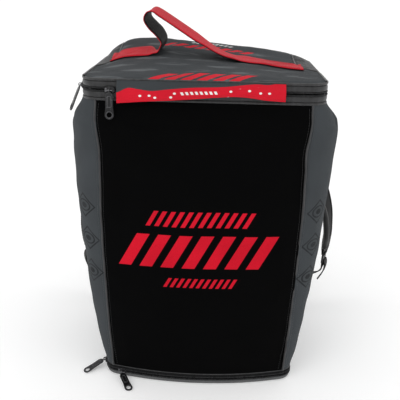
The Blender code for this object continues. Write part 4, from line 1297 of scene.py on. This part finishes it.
def rounded_plate(name, shape, y_low, y_high, bevel, holes=()):
    """A plate in the X-Z plane from its outline, with holes and a rounded edge."""
    curve = bpy.data.curves.new(name, "CURVE")
    curve.dimensions = "2D"
    curve.fill_mode = "BOTH"
    curve.extrude = (y_high - y_low) / 2 - bevel
    curve.bevel_depth = bevel
    curve.bevel_resolution = 2
    curve.offset = -bevel
    for loop in (shape, *holes):
        spline = curve.splines.new("POLY")
        spline.points.add(len(loop) - 1)
        for point, (x, z) in zip(spline.points, loop):
            point.co = (x, z, 0.0, 1.0)
        spline.use_cyclic_u = True
    source = bpy.data.objects.new(name, curve)
    bpy.context.scene.collection.objects.link(source)
    graph = bpy.context.evaluated_depsgraph_get()
    mesh = bpy.data.meshes.new_from_object(source.evaluated_get(graph))
    bpy.data.objects.remove(source)
    weld(mesh)
    mesh.transform(Matrix.Translation((0, (y_low + y_high) / 2, 0)) @ Matrix.Rotation(math.pi / 2, 4, "X"))
    mesh.uv_layers.new(name="cloth")
    return mesh


def part(name, mesh, material, place=None):
    """A shaded object from a mesh, moved into place."""
    if place is not None:
        mesh.transform(place)
    if "cloth" not in mesh.uv_layers:
        mesh.uv_layers.new(name="cloth")
    mesh.shade_smooth()
    mesh.set_sharp_from_angle(angle=math.radians(38))
    return link(name, mesh, material)


def block(name, size, centre, bevel, material, place=None):
    """A box with rounded edges, as part of a larger piece."""
    work = bmesh.new()
    bmesh.ops.create_cube(work, size=1.0)
    bmesh.ops.scale(work, vec=size, verts=work.verts)
    bmesh.ops.translate(work, vec=centre, verts=work.verts)
    bmesh.ops.bevel(work, geom=list(work.edges), offset=bevel, segments=2, affect="EDGES", profile=0.5)
    mesh = bpy.data.meshes.new(name)
    work.to_mesh(mesh)
    work.free()
    return part(name, mesh, material, place)


def rounded_loop(corners, radius, steps=4):
    """A closed outline with each corner rounded off."""
    made = []
    count = len(corners)
    for i in range(count):
        a, b, c = (Vector(corners[(i + k) % count]) for k in (-1, 0, 1))
        reach = min(radius, 0.45 * (a - b).length, 0.45 * (c - b).length)
        start, end = b + (a - b).normalized() * reach, b + (c - b).normalized() * reach
        for k in range(steps + 1):
            t = k / steps
            made.append(tuple(start * (1 - t) ** 2 + 2 * b * t * (1 - t) + end * t**2))
    return made


def circle(centre, radius, count=24):
    """Points round a centre, in the plate's plane."""
    return [(centre[0] + radius * math.cos(2 * math.pi * k / count),
             centre[1] + radius * math.sin(2 * math.pi * k / count)) for k in range(count)]


def metal_tube(name, path, radius, place, sides, up, closed=True):
    """A metal wire or raised rim, moved into place."""
    made = tube(name, path, radius, METAL, sides=sides, closed=closed, up=up)
    made.data.transform(place)
    return made


def slider_piece(name, place):
    """A zip slider: two shaped plates, rolled flanges, a post between them, and the pull's crown."""
    half_length, half_height = SLIDER_LENGTH / 2, SLIDER_HEIGHT / 2
    outer = -(COIL_DEPTH + 0.0004)
    upper = [(-half_length, 0.0032), (-half_length + 0.0035, half_height),
             (half_length - 0.0045, half_height), (half_length, 0.0030)]
    shape = rounded_loop(upper + [(x, -z) for x, z in upper[::-1]], 0.0022)
    face = rounded_plate(name, shape, outer - PLATE, outer, 0.0004)
    inner = rounded_plate(name, shape, 0.0014, 0.0014 + PLATE, 0.0003)
    pieces = [part(name, face, METAL, place), part(f"{name}_inner", inner, METAL, place)]
    pieces.append(block(f"{name}_post", (0.0045, 0.0060, 0.0008), (0, -0.0008, 0), 0.0002, METAL, place))
    flange = (SLIDER_LENGTH - 0.0075, 0.0011, 0.0009)
    for side in (-1, 1):
        centre = (0.0005, outer + 0.0003, side * (half_height - 0.00055))
        pieces.append(block(f"{name}_flange", flange, centre, 0.0003, METAL, place))
    rise = [(-0.0050, outer - 0.0005, 0), (-0.0050, -0.0058, 0), (-0.0046, -0.0067, 0),
            (-0.0037, -BAR_OUT, 0)]
    bar = rise + [(-x, y, z) for x, y, z in rise[::-1]]
    pieces.append(metal_tube(f"{name}_crown", bar, 0.0008, place, 10, (0, 0.05, 1), closed=False))
    centre = (-half_length + 0.0022, outer - PLATE * 0.8, 0)
    pieces.append(block(f"{name}_nose", (0.0030, 0.0016, 0.0056), centre, 0.0006, METAL, place))
    return join(name, pieces)


def pull_piece(name, place):
    """A pull tab with a finger hole, a raised rim round it, a pressed rib and the eye round the crown."""
    half, end = PULL_WIDTH / 2, PULL_START - PULL_LENGTH
    waist, neck = half * 0.86, half * 0.20
    shape = [(neck, PULL_START), (waist * 0.72, PULL_START - 0.0022), (waist, PULL_START - 0.0055),
             (waist * 0.97, PULL_START - 0.0140), (waist * 0.98, PULL_START - 0.0230)]
    shape += [(half * math.cos(a), end + half + half * math.sin(a)) for a in np.linspace(0, -math.pi, 22)]
    shape += [(-x, z) for x, z in shape[4::-1]]
    centre = (0, end + half)
    hole = circle(centre, PULL_HOLE)[::-1]
    tab = rounded_plate(name, shape, -PULL_THICKNESS / 2, PULL_THICKNESS / 2, 0.0004, [hole])
    pieces = [part(name, tab, METAL, place)]
    rib_top, rib_foot = PULL_START - 0.0060, PULL_START - 0.0220
    rib = [(-0.0026, rib_top), (0.0026, rib_top), (0.0031, rib_foot), (-0.0031, rib_foot)]
    rib = rounded_loop(rib, 0.0016, 5)
    lip = circle(centre, PULL_HOLE + 0.0008)
    for side in (-1, 1):
        face = side * PULL_THICKNESS / 2
        for label, line, radius, sides in (("lip", lip, 0.00045, 8), ("ridge", rib, 0.00035, 6)):
            path = [(x, face, z) for x, z in line]
            pieces.append(metal_tube(f"{name}_{label}", path, radius, place, sides, (0, 1, 0)))
    turns = np.linspace(0, 2 * math.pi, 25)[:-1]
    eye = [(0, EYE_RADIUS * math.cos(a), EYE_RADIUS * math.sin(a)) for a in turns]
    pieces.append(metal_tube(f"{name}_eye", eye, EYE_WIRE, place, 10, (1, 0, 0)))
    return join(name, pieces)


def build_sliders():
    """The four sliders and their pulls, in their parked places."""
    front_y = min(outline(RIM_ZIP_Z, -s).y for s in (0.90, 0.95)) - CLEAR_OF_TAPE
    bow_turn = math.asin(0.1280 / BASE_BOW_RADIUS)
    bow_y = BASE_BOW_RADIUS * (1 - math.cos(bow_turn)) - BASE_FRONT
    quarter = -math.pi / 2
    # Each slider's position and turn, and its pull's lift and sideways turn in degrees.
    places = {
        "rim_front": ((-0.1390, front_y, RIM_ZIP_Z), 0.0, 6, 0),
        "rim_side": ((-RIM_HALF_WIDTH - CLEAR_OF_TAPE, -0.1020, RIM_ZIP_Z), quarter, 23, 22),
        "base_front": ((-0.1280, bow_y, BASE_ZIP_Z), -bow_turn, 76, 42),
        "base_side": ((-BASE_HALF_WIDTH - CLEAR_OF_TAPE, -0.1000, BASE_ZIP_Z), quarter, 76, 42),
    }
    for label, (position, turn, lift, yaw) in places.items():
        seat = Matrix.Translation(position) @ Matrix.Rotation(turn, 4, "Z")
        body = slider_piece(f"{label}_slider_body", seat)
        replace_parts(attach(body, f"{label}_slider"), f"{label}_slider")
        hang = (seat @ Matrix.Translation((0, -BAR_OUT, 0)) @ Matrix.Rotation(math.radians(yaw), 4, "Z")
                @ Matrix.Rotation(math.radians(-lift), 4, "X"))
        tab = pull_piece(f"{label}_pull_tab", hang)
        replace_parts(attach(tab, f"{label}_pull"), f"{label}_pull")


# ---------------------------------------------------------------- shoulder straps and back pad
STRAP_HALF_WIDTH = 0.030
STRAP_THICKNESS = 0.011
LOCK_DROP = 0.0200
WEBBING = 0.0022
WEBBING_HALF_WIDTH = 0.0125
CLOTH_FRAMES = 20


def inflate(obj, pressure, cap, voxel, pinned):
    """Remeshes a closed padded piece, puffs it with a short cloth simulation and smooths it.
    No point moves farther than cap. pinned gives True for the points that stay in place."""
    remesh = obj.modifiers.new("remesh", "REMESH")
    remesh.mode = "VOXEL"
    remesh.voxel_size = voxel
    apply_all(obj)
    rest = np.array([v.co for v in obj.data.vertices])
    group = obj.vertex_groups.new(name="pinned")
    group.add([i for i, p in enumerate(rest) if pinned(Vector(p))], 1.0, "REPLACE")
    cloth = obj.modifiers.new("cloth", "CLOTH")
    cloth.settings.quality = 6
    cloth.settings.mass = 0.2
    cloth.settings.tension_stiffness = 18
    cloth.settings.compression_stiffness = 18
    cloth.settings.shear_stiffness = 8
    cloth.settings.bending_stiffness = 0.4
    cloth.settings.use_pressure = True
    cloth.settings.uniform_pressure_force = pressure
    cloth.settings.effector_weights.gravity = 0
    cloth.settings.vertex_group_mass = "pinned"
    cloth.point_cache.frame_end = CLOTH_FRAMES
    for number in range(1, CLOTH_FRAMES + 1):
        bpy.context.scene.frame_set(number)
    shown = obj.evaluated_get(bpy.context.evaluated_depsgraph_get())
    moved = np.array([v.co for v in shown.data.vertices]) - rest
    reach = np.linalg.norm(moved, axis=1, keepdims=True)
    moved *= np.minimum(1, cap / np.maximum(reach, 1e-9))
    obj.modifiers.remove(cloth)
    obj.data.vertices.foreach_set("co", (rest + moved).astype(np.float32).ravel())
    obj.vertex_groups.clear()
    bpy.context.scene.frame_set(1)
    rounder = obj.modifiers.new("rounder", "SUBSURF")
    rounder.levels = rounder.render_levels = 1
    apply_all(obj)
    if "cloth" not in obj.data.uv_layers:
        obj.data.uv_layers.new(name="cloth")
    obj.data.shade_smooth()
    return obj


def pad_route(sign):
    """The padded strap's centre line from the yoke down, as in the CAD model, with its twist in degrees."""
    out = 0.0 if sign > 0 else -0.007
    right = [
        ((0.055, 0.1590, 0.4340), 0), ((0.090, 0.1700, 0.4040), 8), ((0.142, 0.1820, 0.3560), 24),
        ((0.196, 0.1890, 0.3020), 44), ((0.233, 0.1920, 0.2480), 60), ((0.2525, 0.1920, 0.1980), 70),
        ((0.2580, 0.1910, 0.1500), 74), ((0.2550, 0.1885, 0.1150), 70),
    ]
    return [((sign * (x + out * x / 0.25), y, z), -twist * sign) for (x, y, z), twist in right]


def ribbon_frame(point, along, twist):
    """Local axes of a strap at a point: X across it, Z back along it and Y out of its face."""
    side = Vector((0, 1, 0)).cross(along).normalized()
    across = Matrix.Rotation(math.radians(twist), 3, along) @ side
    rotation = Matrix((across, along.cross(across) * -1, -along)).transposed()
    return Matrix.Translation(point) @ rotation.to_4x4()


def route_frames(route, steps):
    """Axes along a route of points with twists, with each point's distance from the start."""
    points = catmull([c for c, _ in route], steps)
    twists = [v.x for v in catmull([(t, 0, 0) for _, t in route], steps)]
    made, run = [], 0.0
    for i, (point, twist) in enumerate(zip(points, twists)):
        along = (points[min(i + 1, len(points) - 1)] - points[max(i - 1, 0)]).normalized()
        run += (point - points[i - 1]).length if i else 0.0
        made.append((ribbon_frame(point, along, twist), run))
    return made


def webbing(name, route, first=0, last=None):
    """A strap of black webbing along a route, or the stretch of it between two of its points."""
    steps = 8
    rows, uv = [], []
    places = np.linspace(-1, 1, 7)
    stretch = slice(first * steps, None if last is None else last * steps + 1)
    for place, run in route_frames(route, steps)[stretch]:
        rows.append([place @ Vector((w * WEBBING_HALF_WIDTH, 0, 0)) for w in places])
        uv.append([(run, w * WEBBING_HALF_WIDTH) for w in places])
    obj = grid(name, rows, BLACK_WEBBING, outward=(0, 1, 0), uv=np.array(uv))
    return apply_all(thicken(obj, WEBBING, 0.0))


def strap_end(sign):
    """Where a pad ends: its end point, its direction there and its twist."""
    route = pad_route(sign)
    end = Vector(route[-1][0])
    return end, (end - Vector(route[-2][0])).normalized(), route[-1][1]


def build_strap(side, sign):
    """A padded strap with bound edges, its root, its buckle, and the webbing that holds it at the anchor."""
    body = f"strap_{side}"
    frames = route_frames(pad_route(sign), 9)
    length = frames[-1][1]
    rows = []
    half_thick = STRAP_THICKNESS / 2

    def half_width(run):
        taper = float(smooth(length - run, 0.000, 0.034))
        root = float(smooth(run, 0.0, 0.034))
        return STRAP_HALF_WIDTH * (0.52 + 0.48 * taper) * (0.55 + 0.45 * root)

    for place, run in frames:
        wide = half_width(run)
        ends = float(smooth(min(run, length - run), -0.002, 0.012))
        deep = half_thick * (0.45 + 0.47 * ends)
        ring = []
        for turn in np.linspace(0, 2 * math.pi, 28, endpoint=False):
            c, s = math.cos(turn), math.sin(turn)
            ring.append(place @ Vector((math.copysign(abs(c) ** 0.55, c) * (wide - 0.0006),
                                        math.copysign(abs(s) ** 0.75, s) * deep, 0)))
        rows.append(ring)
    pad = grid(f"strap_pad_{side}", rows, STRAP_MESH, closed=True)
    face_outward(pad.data, close_ends=True)
    centres = np.array([place.translation for place, _ in frames])
    sides = np.array([place.to_3x3().col[0] for place, _ in frames])
    widths = np.array([half_width(run) for _, run in frames])

    def at_edge(point):
        k = int(np.argmin(np.linalg.norm(centres - np.array(point), axis=1)))
        across = abs(float(np.dot(np.array(point) - centres[k], sides[k])))
        return across > widths[k] - 0.0055 or k < 3 or k > len(centres) - 5

    inflate(pad, 3.0, 0.0016, 0.0042, at_edge)
    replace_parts(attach(pad, body), f"shoulder_pad_{side}")
    half_fold = [(0.0085, 0.0054), (0.0050, 0.0050), (0.0018, 0.0038), (0.0001, 0.0016)]
    fold = half_fold + [(x, -y) for x, y in half_fold[::-1]]
    for label, edge in (("inner", -1), ("outer", 1)):
        rim = []
        for place, run in frames:
            wide = half_width(run)
            rim.append([place @ Vector((edge * (wide - x), y, 0)) for x, y in fold])
        tape = grid(f"strap_binding_{side}_{label}", rim, EDGE_TAPE)
        middle = frames[len(frames) // 2][0]
        wanted = middle.to_3x3() @ Vector((edge, 0, 0))
        score = sum(f.normal.dot(wanted) for f in tape.data.polygons
                    if (f.center - middle.translation).length < 0.05)
        if score < 0:
            tape.data.flip_normals()
        apply_all(thicken(tape, 0.0007, 1.0))
        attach(tape, body)
        for face_name, face in (("back", 1), ("front", -1)):
            line = []
            for place, run in frames:
                line.append(place @ Vector((edge * (half_width(run) - 0.0068), face * 0.0060, 0)))
            normals = [place.to_3x3() @ Vector((0, face, 0)) for place, _ in frames]
            thread = stitches(f"strap_thread_{side}_{label}_{face_name}", line, normals, GREY_THREAD,
                              0.0042, 0.0033, 0.00032)
            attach(thread, body)
    build_strap_root(side, sign, frames)
    end, tip, twist = strap_end(sign)
    lock_place = ribbon_frame(end + tip * LOCK_DROP, tip, twist)
    build_lock(side, lock_place)
    # The webbing loop that ties the pad to its buckle goes through the upper slot and back.
    pad_end = ribbon_frame(end, tip, twist)
    loop_line = [(0.0060, 0.030), (0.0058, 0.012), (0.0046, -0.002), (0.0034, -0.0085), (0.0030, -0.0125),
                 (0.0005, -0.0150), (-0.0028, -0.0128), (-0.0034, -0.0085), (-0.0046, -0.002),
                 (-0.0058, 0.012), (-0.0060, 0.030)]
    smooth_line = catmull([(0, y, z) for y, z in loop_line], 5)
    rows = [[pad_end @ Vector((w * 0.0118, p.y, p.z)) for w in np.linspace(-1, 1, 6)] for p in smooth_line]
    loop = grid(f"strap_loop_{side}", rows, BLACK_WEBBING)
    apply_all(thicken(loop, 0.0016, 0.0))
    sewn = [pad_end @ Vector((w * 0.009, 0.0071, 0.020)) for w in np.linspace(-1, 1, 10)]
    bar_normals = [pad_end.to_3x3() @ Vector((0, 1, 0))] * 10
    tack = stitches(f"strap_tack_{side}", sewn, bar_normals, GREY_THREAD, 0.0022, 0.0026, 0.0004)
    loop = join(f"strap_loop_{side}", [loop, tack])
    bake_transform(loop)
    # The lower webbing runs from the buckle to the anchor, and its spare end hangs free.
    threaded_at = end + tip * (LOCK_DROP + 0.0062)
    start = end + tip * (LOCK_DROP + 0.0165)
    held = start + Vector((sign * -0.014, -0.009, -0.016))
    lower = [
        (threaded_at, twist),
        (start, twist),
        (start + tip * 0.006, twist),
        (held, twist * 0.85),
        ((sign * 0.188, 0.1590, 0.0600), twist * 0.3),
        ((sign * 0.152, 0.1420, 0.0560), 0),
        ((sign * 0.126, 0.1362, 0.0550), 0),
    ]
    strap = webbing(f"lower_strap_{side}", lower, first=3)
    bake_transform(strap)
    threaded = webbing(f"threaded_strap_{side}", lower, last=3)
    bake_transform(threaded)
    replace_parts(strap, f"lower_webbing_{side}")
    beside = start + Vector((sign * 0.0060, 0, 0))
    tail = [
        (threaded_at + Vector((sign * 0.0030, 0, 0)), twist),
        (beside, twist),
        (beside + Vector((sign * -0.004, -0.003, -0.015)), twist),
        (beside + Vector((sign * -0.016, -0.008, -0.032)), twist),
    ]
    spare = webbing(f"spare_end_{side}", tail)
    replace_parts(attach(spare, f"lock_{side}"), f"webbing_tail_{side}")


def build_strap_root(side, sign, frames):
    """The strap's fabric end: it is sewn to the yoke and over the top of the pad."""
    near = [f for f, run in frames if run < 0.024]
    last = near[-1]
    facing = sign if (last.to_3x3() @ Vector((1, 0, 0))).x > 0 else -sign
    rows = []
    yoke_y = outline(YOKE_Z, 5).y + 0.0036
    for k in range(9):
        t = k / 8
        row = []
        for w in np.linspace(-1, 1, 12):
            top = Vector((sign * (0.056 + w * 0.027), yoke_y + 0.0042, 0.4520))
            foot = last @ Vector((w * facing * 0.0265, -0.0076, 0))
            middle = (top + foot) / 2 + Vector((0, 0.0160, 0.004))
            row.append(top * (1 - t) ** 2 + 2 * middle * t * (1 - t) + foot * t**2)
        rows.append(row)
    root = grid(f"strap_root_{side}", rows, PATCH, outward=(0, 1, 0.2))
    apply_all(thicken(root, 0.0014, 0.0))
    lines = []
    normal = last.to_3x3() @ Vector((0, -1, 0))
    for row, label in ((rows[-1], "foot"), (rows[-2], "foot_second")):
        path = [p + normal * 0.0010 for p in row]
        lines.append(stitches(f"strap_root_{side}_{label}", path, [normal] * len(path), GREY_THREAD,
                              0.0036, 0.0028, 0.00035))
    root = join(f"strap_root_{side}", [root, *lines])
    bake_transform(root)


def build_lock(side, place):
    """A ladder lock: a frame with two slots, a ribbed grip bar and rounded edges."""
    half_width, half_height, cut = 0.0175, 0.0120, 0.0030
    right = [(half_width - cut, half_height), (half_width, half_height - cut),
             (half_width, -half_height + cut), (half_width - cut, -half_height)]
    shape = rounded_loop(right + [(-x, z) for x, z in right[::-1]], 0.0025)
    reach, half_slot = 0.0135, 0.0028
    holes = []
    for height in (0.0057, -0.0057):
        low, high = height - half_slot, height + half_slot
        slot = [(-reach, low), (reach, low), (reach, high), (-reach, high)]
        holes.append(rounded_loop(slot, 0.0012)[::-1])
    mesh = rounded_plate(f"buckle_{side}", shape, -0.00175, 0.00175, 0.0006, holes)
    pieces = [part(f"buckle_{side}", mesh, PLASTIC, place)]
    for k in range(3):
        size, centre = (0.0250 - 0.002 * k, 0.0008, 0.0007), (0, 0.0019, -0.0092 - 0.0010 * k)
        pieces.append(block(f"buckle_rib_{side}", size, centre, 0.0002, PLASTIC, place))
    lock = join(f"buckle_{side}", pieces)
    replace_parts(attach(lock, f"lock_{side}"), f"ladder_lock_{side}")


def patch(name, size, centre, node):
    """A sewn patch on the bag's back: a soft flat block with a border and a cross of stitches."""
    place = Matrix.Translation(centre)
    columns, rows_count = 60, 18
    rows, uv = [], []
    for j in range(rows_count):
        b = -1 + 2 * j / (rows_count - 1)
        row = []
        for i in range(columns):
            a = -1 + 2 * i / (columns - 1)
            near = min((1 - abs(a)) * size[0] / 2, (1 - abs(b)) * size[2] / 2)
            rise = size[1] * (0.30 + 0.55 * float(smooth(near, 0.0, 0.0045)))
            rise += 0.0004 * ripple((a * size[0], b * size[2], 0), 90.0, 17)
            row.append(place @ Vector((a * size[0] / 2, rise - size[1] / 2, b * size[2] / 2)))
            uv.append((a * size[0] / 2, b * size[2] / 2))
        rows.append(row)
    face = grid(name, rows, PATCH, outward=(0, 1, 0), uv=np.array(uv).reshape(rows_count, columns, 2))
    apply_all(thicken(face, size[1] * 0.45))
    half_x, half_z = size[0] / 2 - 0.0040, size[2] / 2 - 0.0040
    box = [(-half_x, -half_z), (half_x, -half_z), (half_x, half_z), (-half_x, half_z), (-half_x, -half_z)]
    height = size[1] * 0.37 + 0.0001
    parts = [face]
    lines = (("border", box), ("cross", [box[0], box[2]]), ("back_cross", [box[3], box[1]]))
    for label, line in lines:
        path = []
        for (x1, z1), (x2, z2) in zip(line, line[1:]):
            for t in np.linspace(0, 1, 12):
                path.append(place @ Vector((x1 + (x2 - x1) * t, height, z1 + (z2 - z1) * t)))
        normals = [Vector((0, 1, 0))] * len(path)
        parts.append(stitches(f"{name}_{label}", path, normals, GREY_THREAD, 0.0038, 0.0030, 0.0004))
    obj = join(name, parts)
    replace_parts(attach(obj, "bag_body"), node)


CUSHION_SIDE = 4.27  # the station of the back cushion's right edge; its left one is as far past station 5
CUSHION_BOTTOM = 0.085
CUSHION_TOP = 0.385
CUSHION_CHANNELS = 5
ANCHOR_Z = 0.0550


def build_back():
    """The quilted back cushion, the yoke that holds the straps and the two lower anchors."""
    rows = []
    half = [CUSHION_SIDE + (5 - CUSHION_SIDE) * i / 22 for i in range(23)]
    loop = half + [10 - s for s in half[-2::-1]]
    for z in np.linspace(CUSHION_BOTTOM, CUSHION_TOP, 90):
        row = []
        for s in loop:
            across = (s - 5) / (5 - CUSHION_SIDE)
            near = min((1 - abs(across)) * 0.070, z - CUSHION_BOTTOM, CUSHION_TOP - z)
            quilt = abs(math.sin(math.pi * (z - CUSHION_BOTTOM) / (0.300 / CUSHION_CHANNELS)))
            middle = min(abs(across) / 0.10, 1.0)
            crown = 0.30 + 0.70 * min(quilt, middle) ** 0.5
            rise = 0.0035 + 0.0062 * float(smooth(near, 0.0, 0.016)) * crown
            row.append(outline(z, s, -0.0004 - rise))
        rows.append(row)
    pad = grid("back_cushion", rows, STRAP_MESH, outward=(0, 1, 0))
    apply_all(thicken(pad, 0.0030))
    fill = pad.modifiers.new("subsurf", "SUBSURF")
    fill.levels = fill.render_levels = 1
    apply_all(pad)
    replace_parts(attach(pad, "bag_body"), "back_pad")
    right, left = CUSHION_SIDE + 0.005, 10 - CUSHION_SIDE - 0.005
    shares, heights = np.linspace(0, 1, 50), np.linspace(0.090, 0.380, 60)
    edge = [(0.086, right + (left - right) * t) for t in shares]
    edge += [(z, left) for z in heights]
    edge += [(0.384, left - (left - right) * t) for t in shares]
    edge += [(z, right) for z in heights[::-1]]
    cord = tube("back_cushion_edge", [outline(z, s, -0.0022) for z, s in edge], 0.0021, EDGE_TAPE, sides=8,
                closed=True, up=(0, 1, 0))
    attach(cord, "bag_body")
    yoke_y = outline(YOKE_Z, 5).y
    patch("yoke_patch", (0.190, 0.0060, 0.0260), (0, yoke_y + 0.0040, YOKE_Z), "strap_yoke")
    anchor_y = outline(ANCHOR_Z, 4.3).y + 0.0034
    for side, sign in SIDES:
        patch(f"anchor_patch_{side}", (0.040, 0.0040, 0.034), (sign * 0.110, anchor_y, ANCHOR_Z),
              f"strap_anchor_{side}")


def finish_boards():
    """The two hidden boards keep their CAD shape and take a moulded finish."""
    for name in ("divider_floor", "base_stiffener"):
        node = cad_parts[name]
        node.data.materials.clear()
        node.data.materials.append(BOARD)


# ---------------------------------------------------------------- stage
def area_light(name, place, aim_height, size, power):
    """A square lamp that points at the bag's axis, at this height."""
    light = bpy.data.lights.new(name, "AREA")
    light.shape = "RECTANGLE"
    light.size = light.size_y = size
    light.energy = power
    obj = bpy.data.objects.new(name, light)
    obj.location = place
    aim = Vector((0, 0, aim_height)) - Vector(place)
    obj.rotation_euler = aim.to_track_quat("-Z", "Y").to_euler()
    bpy.context.scene.collection.objects.link(obj)


def build_stage():
    """White paper under and round the bag, three lamps, and the camera that was fitted to the photo."""
    size = 30.0
    mesh = bpy.data.meshes.new("floor")
    corners = [(-size, -size, 0), (size, -size, 0), (size, size, 0), (-size, size, 0)]
    mesh.from_pydata(corners, [], [(0, 1, 2, 3)])
    shader = Shader("floor_paper", 0.9)
    shader.surface.inputs["Base Color"].default_value = (0.93, 0.93, 0.93, 1.0)
    shader.surface.inputs["Emission Color"].default_value = (1.0, 1.0, 1.0, 1.0)
    shader.surface.inputs["Emission Strength"].default_value = 0.15
    floor = link("floor", mesh, shader.material)
    floor.location.z = -0.0004
    bpy.context.scene.view_settings.view_transform = "Standard"
    world = bpy.data.worlds.new("studio")
    bpy.context.scene.world = world
    world.use_nodes = True
    world.node_tree.nodes["Background"].inputs[0].default_value = (1, 1, 1, 1)
    world.node_tree.nodes["Background"].inputs[1].default_value = 0.95
    area_light("key", (-1.3, -2.0, 1.9), 0.28, 1.3, 12)
    area_light("fill", (1.9, -1.5, 1.3), 0.28, 1.3, 3)
    area_light("top", (0.0, 0.2, 2.6), 0.40, 1.8, 1)
    camera = bpy.data.cameras.new("camera")
    camera.sensor_width = 36
    camera.lens = 61.12
    camera.clip_end = 200
    obj = bpy.data.objects.new("camera", camera)
    right = Vector((0.9993504, 0.0292219, 0.0210916))
    up = Vector((-0.0294514, 0.3249186, 0.9452833))
    back = Vector((0.0207699, -0.9452904, 0.3255682))
    rotation = Matrix((right, up, back)).transposed().to_4x4()
    obj.matrix_world = Matrix.Translation((0.0192239, -1.1343485, 0.6674818)) @ rotation
    bpy.context.scene.collection.objects.link(obj)
    bpy.context.scene.camera = obj


build_walls()
build_zips()
build_lid()
build_flap()
build_handle()
build_base()
build_sliders()
for side_name, side_sign in SIDES:
    build_strap(side_name, side_sign)
build_back()
finish_boards()
build_stage()
